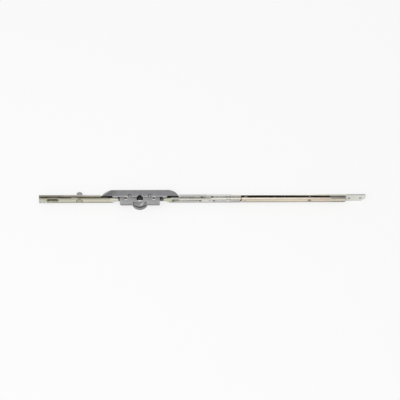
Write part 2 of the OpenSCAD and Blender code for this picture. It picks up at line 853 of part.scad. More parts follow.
module coupler_screw() {
    color("gainsboro") difference() {
        headed_rivet(coupler_screw_x, mid_z, rod_rivet_d, rod_rivet_head_d, rod_out + coupler_t);
        span(
            around(coupler_screw_x, driver_slot_w),
            [rod_in - rod_rivet_head_h - over, rod_in - rod_rivet_head_h + driver_slot_depth],
            around(mid_z, 2 * rod_rivet_head_d)
        );
    }
}

module coupler_rivets() {
    color("gainsboro") for (x = [coupler_x + coupler_rivet_inset, coupler_end - coupler_rivet_inset])
        round_y(rod_rivet_d, [rod_in, rod_out + coupler_t], x, mid_z);
}

module right_drive_rod() {
    through = [rod_in - over, rod_out + over];
    start = rod_joint + rod_joint_gap / 2;
    color("wheat") difference() {
        sheet([rod_in, rod_out]) {
            translate([start, -rod_w]) square([rod_end - rod_end_r - start, rod_w]);
            translate([start, -rod_w + rod_end_r]) square([rod_end - start, rod_w - rod_end_r]);
            translate([rod_end - rod_end_r, -rod_w + rod_end_r]) circle(rod_end_r);
        }
        round_y(rod_rivet_d + 2 * hole_gap, through, coupler_end - coupler_rivet_inset, mid_z);
        round_y(guide_d + 2 * hole_gap, through, guide_x, mid_z);
        end_block_shafts(rod_rivet_d + 2 * hole_gap, through);
    }
}

module guide_rivet() {
    color("silver") headed_rivet(guide_x, mid_z, guide_d, guide_head_d, plate_out - pin_slot_gap);
}

// The two rivets through the end block
module end_block_shafts(d, y) {
    for (x = [rod_end - block_rivet_inset, rod_end - block_l + block_rivet_inset])
        round_y(d, y, x, mid_z);
}

module end_block() {
    x = [rod_end - block_l, rod_end];
    color("rosybrown") difference() {
        union() {
            span(x, [rod_out, rod_out + block_t], [-rod_w + rod_end_r, block_rise]);
            span(x, [rod_in, rod_out + block_t], [0, block_rise]);
        }
        end_block_shafts(rod_rivet_d + 2 * hole_gap, [rod_out - over, rod_out + block_t + over]);
    }
}

module end_block_rivets() {
    color("gainsboro") end_block_shafts(rod_rivet_d, [rod_in, rod_out + block_t]);
}

front_case();
rear_case();
rack_cover();
case_rivets();
left_faceplate();
faceplate_screws();
right_stub_faceplate();
serrated_plate();
lap_rivets();
right_faceplate();
hub_pinion();
rack_slider();
foot_rivets();
left_drive_rod();
left_end_shoe();
shoe_rivet();
cam_pin();
right_gear_rod();
rod_coupler();
coupler_screw();
coupler_rivets();
right_drive_rod();
guide_rivet();
end_block();
end_block_rivets();
cam_roller();
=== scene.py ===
"""Looks of a window espagnolette gear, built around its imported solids."""
import logging
import math
from contextlib import contextmanager
from dataclasses import dataclass, field
from enum import Enum
from typing import Iterator, Mapping, Optional, Sequence, Union

import bmesh
import bpy
from mathutils import Matrix, Vector


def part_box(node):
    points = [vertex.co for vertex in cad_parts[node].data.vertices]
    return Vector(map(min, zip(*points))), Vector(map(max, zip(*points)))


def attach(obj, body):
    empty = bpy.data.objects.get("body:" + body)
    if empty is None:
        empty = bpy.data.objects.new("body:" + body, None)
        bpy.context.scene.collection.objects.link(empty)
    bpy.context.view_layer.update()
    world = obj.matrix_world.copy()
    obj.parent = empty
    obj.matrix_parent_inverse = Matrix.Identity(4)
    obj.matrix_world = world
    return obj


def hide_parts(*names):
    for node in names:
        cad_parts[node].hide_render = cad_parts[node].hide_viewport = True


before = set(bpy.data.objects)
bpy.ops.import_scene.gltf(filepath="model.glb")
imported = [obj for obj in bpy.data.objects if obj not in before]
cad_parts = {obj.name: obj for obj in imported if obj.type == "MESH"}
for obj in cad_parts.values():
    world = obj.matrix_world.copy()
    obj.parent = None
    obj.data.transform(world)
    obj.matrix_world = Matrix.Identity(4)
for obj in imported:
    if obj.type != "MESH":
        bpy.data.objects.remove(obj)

LOG = logging.getLogger("gear")
MM = 0.001

Colour = tuple[float, float, float]
Point = tuple[float, float, float]
# Two numbers that belong together, mostly where a zone starts to show and where it shows in full.
Span = tuple[float, float]


class Body(Enum):
    """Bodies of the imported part."""

    ROOT = "root"
    HUB = "hub"
    SLIDER = "slider"
    ROLLER = "roller"


class Slot(Enum):
    """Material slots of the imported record."""

    ZINC = "zinc_case"
    COVER = "cover_grey"
    STRIP = "plated_strip"
    CHROMATE = "chromate_rod"
    SILVER = "silver_rod"
    RIVET = "rivet_steel"
    BLACK = "black_steel"
    CAM = "cam_steel"


class Along(Enum):
    """Axis that a turned piece stands along, as its side, up and axis directions."""

    Y = ((1.0, 0.0, 0.0), (0.0, 0.0, 1.0), (0.0, 1.0, 0.0))
    Z = ((1.0, 0.0, 0.0), (0.0, 1.0, 0.0), (0.0, 0.0, 1.0))


class Tone(Enum):
    """Tones of a zone, by the field that holds them."""

    FACE = "face"
    NEAR = "near"
    LOW = "low"


class Sock:
    """A node's output that adds Math nodes when it is calculated with."""

    def __init__(self, graph: "Graph", socket: bpy.types.NodeSocket) -> None:
        """Keeps the output and the graph that it belongs to."""
        self.graph = graph
        self.socket = socket

    def maths(self, operation: str, *values: "Value") -> "Sock":
        """Adds one Math node with its inputs in order, and gives its result."""
        return self.graph.node("ShaderNodeMath", {"operation": operation}, dict(enumerate(values))).out()

    def __add__(self, other: "Value") -> "Sock":
        """Sum."""
        return self.maths("ADD", self, other)

    def __radd__(self, other: "Value") -> "Sock":
        """Sum with a number in front."""
        return self.maths("ADD", other, self)

    def __sub__(self, other: "Value") -> "Sock":
        """Difference."""
        return self.maths("SUBTRACT", self, other)

    def __rsub__(self, other: "Value") -> "Sock":
        """Difference from a number."""
        return self.maths("SUBTRACT", other, self)

    def __mul__(self, other: "Value") -> "Sock":
        """Product."""
        return self.maths("MULTIPLY", self, other)

    def __rmul__(self, other: "Value") -> "Sock":
        """Product with a number in front."""
        return self.maths("MULTIPLY", other, self)

    def magnitude(self) -> "Sock":
        """Value without its sign."""
        return self.maths("ABSOLUTE", self)

    def larger(self, other: "Value") -> "Sock":
        """Larger one of two values."""
        return self.maths("MAXIMUM", self, other)

    def sway(self, amount: float) -> "Sock":
        """Swing by an amount about zero, of a pattern around 0.5."""
        return amount * (self - 0.5)

    def step(self, place: float, soft: float) -> "Sock":
        """Rises from 0 to 1 about a place, or falls where the softness is negative."""
        return self.ramp(place - soft, place + soft)

    def ramp(self, low: float, high: float) -> "Sock":
        """Rises smoothly from 0 at low to 1 at high.

        Args:
            low: value that gives 0; it may be the larger one.
            high: value that gives 1.

        Returns:
            The eased share.
        """
        made = self.graph.node(
            "ShaderNodeMapRange",
            {"interpolation_type": "SMOOTHSTEP"},
            {"Value": self, "From Min": min(low, high), "From Max": max(low, high)},
        ).out()
        return made if low < high else 1.0 - made


Value = Union[Sock, float, Sequence[float]]


@dataclass(frozen=True)
class Zone:
    """Stretch along X with its own tones, up to the start of the next one; its face, near and low tones are
    lit and shaded copies of one plating, and so hold painted light and painted shade.
    """

    start: float
    face: Colour
    near: Colour
    low: Colour = (0.3, 0.3, 0.3)
    soft: float = 1.5
    reach: float = 2.5


@dataclass(frozen=True)
class Spot:
    """Mark round a hole, slot or head, as wide as its radius about a line along X; the marks hold painted
    shade in holes and slots, painted shadows by heads, painted light patches and darker patches.
    """

    start: float
    end: float
    z: float
    radius: float
    tone: Colour
    hollow: float = 0.0
    soft: float = 0.25
    hollow_soft: float = 0.15


@dataclass(frozen=True)
class Grain:
    """Noise pattern: its grain along X, Y and Z in millimetres, and how far it sways the looks."""

    size: Point
    detail: float = 2.0
    shift: float = 0.0
    tint: float = 0.0
    rough: float = 0.0


class Made:
    """A node that was added, with its sockets at hand."""

    def __init__(self, graph: "Graph", node: bpy.types.Node) -> None:
        """Keeps the node and its graph."""
        self.graph = graph
        self.node = node

    def out(self, key: Union[int, str] = 0) -> Sock:
        """Gives one output, by place or name."""
        return Sock(self.graph, self.node.outputs[key])

    def put(self, key: Union[int, str], value: object) -> None:
        """Links or sets one input.

        Args:
            key: the input's place or name.
            value: an output to link, or a plain value.
        """
        socket = self.node.inputs[key]
        if isinstance(value, Sock):
            self.graph.tree.links.new(value.socket, socket)
            return
        if socket.type == "RGBA" and len(value) == 3:
            value = (*value, 1.0)
        socket.default_value = value


class Graph:
    """A node tree that is written as expressions."""

    NOISE_ROUGHNESS = 0.6
    PIT_FLOOR = 0.4
    NEIGHBOUR_SAMPLES = 6
    # Ramp of the outer-edge mask, for abrasion and painted highlights.
    WORN_AND_LIT: Span = (0.1, 0.6)
    REACH_SOFT = 0.1

    def __init__(self, tree: bpy.types.NodeTree) -> None:
        """Empties the tree and keeps it."""
        tree.nodes.clear()
        self.tree = tree

    def node(
        self,
        kind: str,
        settings: Optional[Mapping[str, object]] = None,
        inputs: Optional[Mapping[Union[int, str], object]] = None,
    ) -> Made:
        """Adds one node.

        Args:
            kind: the node's type.
            settings: its settings, which are set first.
            inputs: values or links of its inputs, by place or name.

        Returns:
            The node.
        """
        made = Made(self, self.tree.nodes.new(kind))
        for key, value in (settings or {}).items():
            setattr(made.node, key, value)
        for key, value in (inputs or {}).items():
            made.put(key, value)
        return made

    def place(self) -> Sock:
        """Gives the place on the piece, in metres."""
        return self.node("ShaderNodeTexCoord").out("Object")

    def along(self) -> tuple[Sock, Sock, Sock]:
        """Gives the place on the piece as three numbers in millimetres."""
        split = self.node("ShaderNodeSeparateXYZ", inputs={0: self.place()})
        return tuple(split.out(i) * (1 / MM) for i in range(3))

    def noise(self, grain: Grain) -> Sock:
        """Adds a noise pattern.

        Args:
            grain: its size, its finer layers and the shift that sets it apart from others.

        Returns:
            The pattern, around 0.5.
        """
        stretch = [1 / (MM * size) for size in grain.size]
        inputs = {0: self.place(), 1: stretch, 2: [grain.shift] * 3}
        spot = self.node("ShaderNodeVectorMath", {"operation": "MULTIPLY_ADD"}, inputs).out()
        inputs = {"Vector": spot, "Scale": 1.0, "Detail": grain.detail, "Roughness": self.NOISE_ROUGHNESS}
        return self.node("ShaderNodeTexNoise", inputs=inputs).out(0)

    def pits(self, pitch: float, size: float) -> Sock:
        """Adds small scattered pits.

        Args:
            pitch: distance between pits, in millimetres.
            size: radius of a pit as a share of that distance.

        Returns:
            1 in a pit and 0 outside.
        """
        inputs = {"Vector": self.place(), "Scale": 1 / (MM * pitch), "Randomness": 1.0}
        cells = self.node("ShaderNodeTexVoronoi", inputs=inputs).out("Distance")
        return cells.ramp(size, size * self.PIT_FLOOR)

    def openness(self, reach: float, settings: Mapping[str, object]) -> Sock:
        """Gives how open a place is to what lies within a reach, in millimetres."""
        settings = {"samples": self.NEIGHBOUR_SAMPLES, **settings}
        return self.node("ShaderNodeAmbientOcclusion", settings, {"Distance": reach * MM}).out("AO")

    def crevice(self, reach: float, alone: bool = False) -> Sock:
        """Gives 1 deep in corners and gaps, of the piece alone or with its neighbours, and 0 in the open."""
        return 1.0 - self.openness(reach, {"only_local": alone})

    def worn_and_lit(self, reach: float) -> Sock:
        """Gives 1 on outer edges, as wide as the reach, and 0 on flat faces; it lightens edges for abrasion
        and painted highlights.
        """
        return (1.0 - self.openness(reach, {"inside": True, "only_local": True})).ramp(*self.WORN_AND_LIT)

    def seen(self) -> Sock:
        """Gives 1 for rays from the camera, also in reflections and through clear pieces."""
        path = self.node("ShaderNodeLightPath")
        return path.out("Is Camera Ray") + path.out("Is Glossy Ray") + path.out("Is Transmission Ray")

    def mix(self, share: Value, first: object, second: object) -> Sock:
        """Mixes two colours, of which a share of 1 gives the second."""
        return self.node("ShaderNodeMix", {"data_type": "RGBA"}, {0: share, 6: first, 7: second}).out(2)

    def shade(self, colour: object, level: Sock) -> Sock:
        """Multiplies a colour by a number."""
        settings = {"data_type": "RGBA", "blend_type": "MULTIPLY"}
        return self.node("ShaderNodeMix", settings, {0: 1.0, 6: colour, 7: level}).out(2)

    def zoned(self, x: Sock, zones: Sequence[Zone], tone: Tone) -> object:
        """Joins one tone of several zones along X.

        Args:
            x: place along X, in millimetres.
            zones: the zones in order.
            tone: the tone that is wanted.

        Returns:
            The colour.
        """
        colour = getattr(zones[0], tone.value)
        for zone in zones[1:]:
            colour = self.mix(x.step(zone.start, zone.soft), colour, getattr(zone, tone.value))
        return colour

    def reached(self, x: Sock, y: Sock, zones: Sequence[Zone]) -> Sock:
        """Gives 1 where a strip's near edge takes its near tone, past the reach zone by zone along X, and 0
        where the inner face's tone runs onto it.

        Args:
            x: place along X, in millimetres.
            y: place along Y, in millimetres.
            zones: the zones in order.

        Returns:
            The share.
        """
        edge: Value = zones[0].reach
        for before, zone in zip(zones, zones[1:]):
            edge = edge + x.step(zone.start, zone.soft) * (zone.reach - before.reach)
        return (y - edge).step(0.0, self.REACH_SOFT)

    def radius(self, first: Sock, second: Sock) -> Sock:
        """Gives the distance from zero in two directions."""
        square = first * first + second * second
        return square.maths("SQRT", square)

    def spotted(self, x: Sock, z: Sock, base: object, spots: Sequence[Spot]) -> object:
        """Puts marks on a colour: painted shade, painted shadows, painted light and darker patches.

        Args:
            x: place along X, in millimetres.
            z: place along Z, in millimetres.
            base: the colour without marks.
            spots: the marks.

        Returns:
            The marked colour.
        """
        for spot in spots:
            held = x.maths("MINIMUM", x.larger(spot.start), spot.end)
            away = self.radius(x - held, z - spot.z)
            share = away.step(spot.radius, -spot.soft)
            if spot.hollow > 0:
                share = share * away.step(spot.hollow, spot.hollow_soft)
            base = self.mix(share, base, spot.tone)
        return base

    def bump(self, height: Sock, depth: float, strength: float) -> Sock:
        """Makes a bumpy normal from a relief, with its depth in millimetres and how much of it shows."""
        inputs = {"Strength": strength, "Distance": depth * MM, "Height": height}
        return self.node("ShaderNodeBump", inputs=inputs).out("Normal")

    def surface(self, colour: object, rough: Value, metal: Value, normal: Sock, sheen: float = 0.5) -> None:
        """Ends the tree in one shader.

        Args:
            colour: base colour.
            rough: roughness.
            metal: metallic share.
            normal: the normal.
            sheen: level of the uncoloured reflection.
        """
        values = {
            "Base Color": colour,
            "Roughness": rough,
            "Metallic": metal,
            "Normal": normal,
            "Specular IOR Level": sheen,
        }
        shader = self.node("ShaderNodeBsdfPrincipled", inputs=values).out()
        self.node("ShaderNodeOutputMaterial", inputs={"Surface": shader})


@dataclass(frozen=True)
class Finish:
    """What every finish shares."""

    name: str

    def paint(self, graph: Graph) -> None:
        """Fills the material's graph."""
        raise NotImplementedError

    def material(self) -> bpy.types.Material:
        """Gives the finish as a material, made once."""
        made = bpy.data.materials.get(self.name)
        if made is None:
            made = bpy.data.materials.new(self.name)
            made.use_nodes = True
            self.paint(Graph(made.node_tree))
        return made


@dataclass(frozen=True)
class CastZinc(Finish):
    """Die-cast zinc: fine grain, flow marks, pores, edges lightened by abrasion and painted highlights, and
    grime and painted shade in the corners.
    """

    tone: Colour
    edge_tone: Colour
    metal: float = 0.35
    rough: float = 0.46
    # Darkening in corners and gaps: grime and painted shade.
    dirt_and_shade: float = 0.45
    dirt_and_shade_reach: float = 2.5
    mottle: float = 0.35
    # Lighter outer edges: abrasion and painted highlight.
    wear_and_highlight: float = 0.5
    wear_and_highlight_reach: float = 0.5
    wear_and_highlight_flow: Span = (0.3, 0.8)
    sheen: float = 0.5
    grain: Grain = Grain((0.45, 0.45, 0.45), 3.0, tint=0.2, rough=0.16)
    flow: Grain = Grain((4.5, 3.0, 4.0), 3.0, 7.0, rough=0.2)
    pore_pitch: float = 1.9
    pore_size: float = 0.13
    pore_dark: float = 0.35
    pore_depth: float = 0.6
    relief: float = 0.05
    relief_shown: float = 0.35

    def zones(self, graph: Graph, base: Sock) -> Sock:
        """Gives the base colour its zones; a plain casting has none."""
        return base

    def paint(self, graph: Graph) -> None:
        """Fills the material's graph."""
        grain = graph.noise(self.grain)
        flow = graph.noise(self.flow)
        pores = graph.pits(self.pore_pitch, self.pore_size)
        level = 1.0 + grain.sway(self.grain.tint) + flow.sway(self.mottle)
        base = graph.shade(self.tone, level * (1.0 - self.pore_dark * pores))
        base = self.zones(graph, base)
        # Outer edges lighten towards the edge tone: abrasion and painted highlight.
        least, more = self.wear_and_highlight_flow
        worn_and_lit = graph.worn_and_lit(self.wear_and_highlight_reach) * self.wear_and_highlight * (least + more * flow)
        base = graph.mix(worn_and_lit, base, self.edge_tone)
        # Corners and gaps darken: grime and painted shade.
        base = graph.shade(base, 1.0 - self.dirt_and_shade * graph.crevice(self.dirt_and_shade_reach))
        rough = self.rough + grain.sway(self.grain.rough) + flow.sway(self.flow.rough)
        normal = graph.bump(grain - self.pore_depth * pores, self.relief, self.relief_shown)
        graph.surface(base, rough, self.metal, normal, self.sheen)


@dataclass(frozen=True)
class DrilledZinc(CastZinc):
    """Cast zinc with painted light on the walls of the screw holes and beside the spindle, which lie in
    shade.
    """

    # Painted light for hole walls that lie in shade.
    hole_light_tone: Colour = (0.84, 0.84, 0.83)
    hole_soft: float = 0.1
    screw_x: float = 21.5
    screw_r: float = 2.98
    bore_r: float = 5.75
    bore_x: Span = (2.4, 3.2)

    def lit_holes(self, graph: Graph, base: Sock) -> Sock:
        """Paints light on the walls of the holes, where they lie in shade.

        Args:
            graph: the material's graph.
            base: the casting's colour.

        Returns:
            The colour with its holes.
        """
        x, y, _ = graph.along()
        side = x.magnitude()
        screw = graph.radius(side - self.screw_x, y).ramp(self.screw_r, self.screw_r - self.hole_soft)
        bore = graph.radius(x, y).ramp(self.bore_r, self.bore_r - self.hole_soft)
        return graph.mix(screw.larger(bore * side.ramp(*self.bore_x)), base, self.hole_light_tone)


@dataclass(frozen=True)
class CaseZinc(DrilledZinc):
    """Zinc of the case halves: painted shade on what lies back from the handle face and towards the top,
    painted light on the notch's top wall and in the holes, painted shadows beside the notch and in the
    parting line round the boss, and a painted highlight streak on the boss.
    """

    # Painted shade on what lies back from the handle face, turned into painted light on the notch's top wall.
    set_back_shade: float = 0.24
    set_back_shade_z: Span = (-0.5, -1.0)
    ledge_x: Span = (9.6, 9.0)
    ledge_y: Span = (-6.7, -6.3)
    ledge_light: float = 2.2
    # Painted shade, darker towards the top.
    top_shade: float = 0.21
    top_shade_y: Span = (-6.2, 0.5)
    # Painted shadow on the boss face beside the notch's side walls.
    notch_shadow_x: Span = (9.0, 9.4)
    notch_shadow_end_x: Span = (10.6, 10.4)
    notch_shadow_y: Span = (-6.0, -6.3)
    notch_shadow_end_y: Span = (-10.0, -9.6)
    notch_shadow_tone: Colour = (0.10, 0.10, 0.10)
    boss_y: float = -1.0
    boss_r: Span = (10.8, 12.4)
    boss_soft: float = 0.1
    # Painted shadow, near black, in the parting line round the boss.
    groove_low: Span = (-6.6, -6.0)
    groove_high: Span = (-3.1, -3.3)
    groove_y: Span = (-6.2, -6.5)
    groove_shadow_tone: Colour = (0.015, 0.014, 0.012)
    # Painted highlight: a bright diagonal streak on the boss face.
    streak_start: Span = (6.5, -5.5)
    streak_way: Span = (0.74, 0.67)
    streak_width: Span = (1.2, 0.0)
    streak_r: Span = (11.0, 10.4)
    streak_y: Span = (-6.2, -6.6)
    streak_z: Span = (-3.0, -2.6)
    highlight_streak_tone: Colour = (0.70, 0.70, 0.69)

    def zones(self, graph: Graph, base: Sock) -> Sock:
        """Paints shade on what lies back and towards the top, light on the notch's top wall and in the holes,
        shadows beside the notch and round the boss, and a highlight streak on the boss.

        Args:
            graph: the material's graph.
            base: the casting's colour.

        Returns:
            The colour with its zones.
        """
        x, y, z = graph.along()
        side = x.magnitude()
        ledge = side.ramp(*self.ledge_x) * y.ramp(*self.ledge_y)
        # Painted shade on what lies back from the handle face, and painted light on the notch's top wall.
        below = z.ramp(*self.set_back_shade_z)
        base = graph.shade(base, 1.0 - self.set_back_shade * below * (1.0 - self.ledge_light * ledge))
        # Painted shade, darker towards the top.
        base = graph.shade(base, 1.0 - self.top_shade * y.ramp(*self.top_shade_y))
        base = self.lit_holes(graph, base)
        # Painted shadow on the boss face beside the notch's side walls.
        notch_shadow = side.ramp(*self.notch_shadow_x) * side.ramp(*self.notch_shadow_end_x) * below
        notch_shadow = notch_shadow * y.ramp(*self.notch_shadow_y) * y.ramp(*self.notch_shadow_end_y)
        base = graph.mix(notch_shadow, base, self.notch_shadow_tone)
        inside, outside = self.boss_r
        around = graph.radius(x, y - self.boss_y)
        rim = around.step(inside, self.boss_soft) * around.step(outside, -self.boss_soft)
        # Painted shadow, near black, in the parting line round the boss.
        groove_shadow = rim * z.ramp(*self.groove_low) * z.ramp(*self.groove_high) * y.ramp(*self.groove_y)
        base = graph.mix(groove_shadow, base, self.groove_shadow_tone)
        # Painted highlight: a bright diagonal streak on the boss face.
        start_x, start_y = self.streak_start
        across, up = self.streak_way
        off = ((x - start_x) * across - (y - start_y) * up).magnitude()
        highlight_streak = off.ramp(*self.streak_width) * around.ramp(*self.streak_r)
        highlight_streak = highlight_streak * y.ramp(*self.streak_y) * z.ramp(*self.streak_z)
        return graph.mix(highlight_streak, base, self.highlight_streak_tone)


@dataclass(frozen=True)
class CoverZinc(DrilledZinc):
    """Zinc of the cover: painted shade on its left part, painted highlights along its base and left end,
    painted light in its holes and over the rod tips, and near-black painted shade on the underside past the
    case.
    """

    screw_r: float = 3.3
    base_y: float = 2.0
    front_z: float = 2.0
    # Painted shade on the left part of the cover.
    left_shade: float = 0.34
    left_shade_x: Span = (-30.0, -46.0)
    # Painted highlight along the left end.
    end_x: float = -60.0
    end_way: Span = (0.59, 0.81)
    end_band: Span = (0.9, -0.7)
    end_highlight_tone: Colour = (0.46, 0.46, 0.47)
    # Painted highlight along the cover's lower front edge.
    lip_width: Span = (1.3, 0.9)
    lip_highlight_tone: Colour = (0.37, 0.37, 0.38)
    # Near-black painted shade on the underside past the case, and on the lower front edge past the rod tips.
    under_y: Span = (2.14, 2.05)
    under_z: Span = (1.25, 1.0)
    channel_z: Span = (-4.8, -4.4)
    past_x: Span = (30.8, 31.4)
    beyond_x: Span = (41.4, 42.2)
    under_shade_tone: Colour = (0.006, 0.005, 0.004)
    # Painted light over the rod tips, on an underside that lies in shade.
    tip_light_x: Span = (34.2, 35.0)
    tip_light_shift: float = 0.9
    tip_light_tone: Colour = (0.62, 0.62, 0.60)

    def zones(self, graph: Graph, base: Sock) -> Sock:
        """Paints shade on the left part, highlights on the edges, light in the holes and over the rod tips,
        and near-black shade on the underside past the case.

        Args:
            graph: the material's graph.
            base: the casting's colour.

        Returns:
            The colour with its zones.
        """
        x, y, z = graph.along()
        side = x.magnitude()
        # Painted shade on the left part of the cover.
        base = graph.shade(base, 1.0 - self.left_shade * x.ramp(*self.left_shade_x))
        # Painted highlight along the left end.
        across, up = self.end_way
        inside = (x - self.end_x) * across - (y - self.base_y) * up
        base = graph.mix(inside.ramp(*self.end_band), base, self.end_highlight_tone)
        # Painted highlight along the cover's lower front edge.
        lip = ((y - self.base_y) + (self.front_z - z)).ramp(*self.lip_width)
        base = self.lit_holes(graph, graph.mix(lip, base, self.lip_highlight_tone))
        # Near-black painted shade on the underside past the case, and on the lower front edge past the rod
        # tips.
        under = y.ramp(*self.under_y) * z.ramp(*self.channel_z) * z.ramp(*self.under_z)
        beyond = side.ramp(*self.beyond_x)
        under = (under * side.ramp(*self.past_x)).larger(lip * beyond)
        base = graph.mix(under, base, self.under_shade_tone)
        # Painted light over the rod tips, on an underside that lies in shade.
        tip_light = under * (x - self.tip_light_shift).magnitude().ramp(*self.tip_light_x) * (1.0 - beyond)
        return graph.mix(tip_light, base, self.tip_light_tone)


@dataclass(frozen=True)
class Strip(Finish):
    """Plated steel strip: rolled lines, cloudy plating, scratches, an inner face and a near edge whose zone
    tones hold painted light and painted shade, near black above the rod on the long strip, marks, and grime
    and painted shade in holes.
    """

    tone: Colour
    zones: tuple[Zone, ...]
    metal: float = 0.5
    rough: float = 0.38
    near_z: Span = (2.45, 2.75)
    inner_y: Span = (2.17, 2.07)
    dirt_and_shade: float = 0.85
    dirt_and_shade_reach: float = 4.0
    dirt_and_shade_level: Span = (0.1, 0.5)
    lines: Grain = Grain((40.0, 0.16, 0.16), 3.0, tint=0.22, rough=0.22)
    cloud: Grain = Grain((6.0, 6.0, 6.0), 3.0, 3.0, tint=0.3, rough=0.16)
    scratch: Grain = Grain((14.0, 0.5, 0.9), 1.0, 11.0)
    scratch_level: Span = (0.70, 0.76)
    scratch_dark: float = 0.12
    scratch_depth: float = 0.5
    relief: float = 0.02
    relief_shown: float = 0.35
    spots: tuple[Spot, ...] = ()

    def paint(self, graph: Graph) -> None:
        """Fills the material's graph."""
        x, y, z = graph.along()
        lines = graph.noise(self.lines)
        cloud = graph.noise(self.cloud)
        scratch = graph.noise(self.scratch).ramp(*self.scratch_level)
        inner = graph.zoned(x, self.zones, Tone.FACE)
        near = graph.zoned(x, self.zones, Tone.NEAR)
        on_edge = z.ramp(*self.near_z)
        # The inner face and the near edge take the zones' tones: painted light and painted shade, near black
        # above the rod on the long strip.
        base = graph.mix(y.ramp(*self.inner_y), self.tone, inner)
        base = graph.mix(on_edge, base, inner)
        base = graph.mix(on_edge * graph.reached(x, y, self.zones), base, near)
        base = graph.spotted(x, z, base, self.spots)
        level = 1.0 + lines.sway(self.lines.tint) + cloud.sway(self.cloud.tint)
        base = graph.shade(base, level * (1.0 - self.scratch_dark * scratch))
        # Holes and slits of the strip darken: grime and painted shade.
        dirt_and_shade_share = graph.crevice(self.dirt_and_shade_reach, True).ramp(*self.dirt_and_shade_level)
        base = graph.shade(base, 1.0 - self.dirt_and_shade * dirt_and_shade_share)
        rough = self.rough + lines.sway(self.lines.rough) + cloud.sway(self.cloud.rough)
        normal = graph.bump(lines - self.scratch_depth * scratch, self.relief, self.relief_shown)
        graph.surface(base, rough, self.metal, normal)


@dataclass(frozen=True)
class RodSteel(Finish):
    """Plated flat rod: drawn bands, chromate clouds, zone tones that paint light and shade on the near edge
    and darken the low edge, a stripe of painted shade on the upper face that turns to painted light where it
    is negative, marks, and grime and painted shade in the slots.
    """

    zones: tuple[Zone, ...]
    # Painted shade on the upper face, painted light where it is negative.
    upper_shading: float = 0.0
    upper_shading_z: Span = (-3.1, -2.1)
    low_z: Span = (-6.4, -7.8)
    edge_z: Span = (-0.4, -0.15)
    unmarked_y: Span = (-0.9, -0.5)
    metal: float = 0.35
    rough: float = 0.4
    dirt_and_shade: float = 0.9
    dirt_and_shade_reach: float = 5.0
    dirt_and_shade_level: Span = (0.1, 0.45)
    lines: Grain = Grain((60.0, 0.2, 0.2), 3.0, tint=0.2, rough=0.2)
    bands: Grain = Grain((160.0, 1.4, 1.1), 2.0, 5.0, tint=0.25)
    cloud: Grain = Grain((14.0, 6.0, 6.0), 2.0, 9.0, tint=0.25, rough=0.14)
    relief: float = 0.018
    relief_shown: float = 0.35
    spots: tuple[Spot, ...] = ()

    def paint(self, graph: Graph) -> None:
        """Fills the material's graph."""
        x, y, z = graph.along()
        lines = graph.noise(self.lines)
        bands = graph.noise(self.bands)
        cloud = graph.noise(self.cloud)
        base = graph.zoned(x, self.zones, Tone.FACE)
        # Painted shade on the upper face, painted light where it is negative.
        base = graph.shade(base, 1.0 - self.upper_shading * z.ramp(*self.upper_shading_z))
        # The low edge takes the zones' low tones, darker towards the bottom.
        base = graph.mix(z.ramp(*self.low_z), base, graph.zoned(x, self.zones, Tone.LOW))
        edge = z.ramp(*self.edge_z)
        # The near edge takes the zones' near tones: painted light and shade.
        base = graph.mix(edge, base, graph.zoned(x, self.zones, Tone.NEAR))
        # The outer part of the near edge takes no marks.
        unmarked = edge * y.ramp(*self.unmarked_y)
        base = graph.mix(unmarked, graph.spotted(x, z, base, self.spots), base)
        level = 1.0 + lines.sway(self.lines.tint) + bands.sway(self.bands.tint)
        base = graph.shade(base, level + cloud.sway(self.cloud.tint))
        # Slots and holes darken: grime and painted shade.
        dirt_and_shade_share = graph.crevice(self.dirt_and_shade_reach, True).ramp(*self.dirt_and_shade_level)
        base = graph.shade(base, 1.0 - self.dirt_and_shade * dirt_and_shade_share)
        rough = self.rough + lines.sway(self.lines.rough) + cloud.sway(self.cloud.rough)
        graph.surface(base, rough, self.metal, graph.bump(lines, self.relief, self.relief_shown))


@dataclass(frozen=True)
class TurnedSteel(Finish):
    """Turned or headed steel: fine turning marks, small nicks, edges lightened by abrasion and painted
    highlights, grime and painted shade round the rim, and a painted highlight on pieces left of the middle
    where a left tone is given.
    """

    tone: Colour
    edge_tone: Colour
    metal: float = 0.6
    rough: float = 0.34
    # Darkening round the rim: grime and painted shade.
    dirt_and_shade: float = 0.5
    dirt_and_shade_reach: float = 1.2
    # Lighter outer edges: abrasion and painted highlight.
    wear_and_highlight: float = 0.7
    wear_and_highlight_reach: float = 0.25
    marks: Grain = Grain((0.25, 0.25, 0.25), rough=0.2)
    cloud: Grain = Grain((2.5, 2.5, 2.5), 2.0, 4.0, rough=0.2)
    level: Span = (0.84, 0.16)
    relief: float = 0.02
    relief_shown: float = 0.3
    # Painted highlight: a light tone for the part left of the middle.
    left_highlight_tone: Optional[Colour] = None
    left_x: Span = (1.0, -1.0)

    def paint(self, graph: Graph) -> None:
        """Fills the material's graph."""
        marks = graph.noise(self.marks)
        cloud = graph.noise(self.cloud)
        tone, edge_tone = self.tone, self.edge_tone
        # Painted highlight: a light tone for the part left of the middle.
        if self.left_highlight_tone is not None:
            left = graph.along()[0].ramp(*self.left_x)
            tone = graph.mix(left, tone, self.left_highlight_tone)
            edge_tone = graph.mix(left, edge_tone, self.left_highlight_tone)
        least, more = self.level
        base = graph.shade(tone, least + more * marks + more * cloud)
        # Outer edges lighten towards the edge tone: abrasion and painted highlight.
        base = graph.mix(graph.worn_and_lit(self.wear_and_highlight_reach) * self.wear_and_highlight, base, edge_tone)
        # The rim and corners darken: grime and painted shade.
        base = graph.shade(base, 1.0 - self.dirt_and_shade * graph.crevice(self.dirt_and_shade_reach))
        rough = self.rough + marks.sway(self.marks.rough) + cloud.sway(self.cloud.rough)
        graph.surface(base, rough, self.metal, graph.bump(marks, self.relief, self.relief_shown))


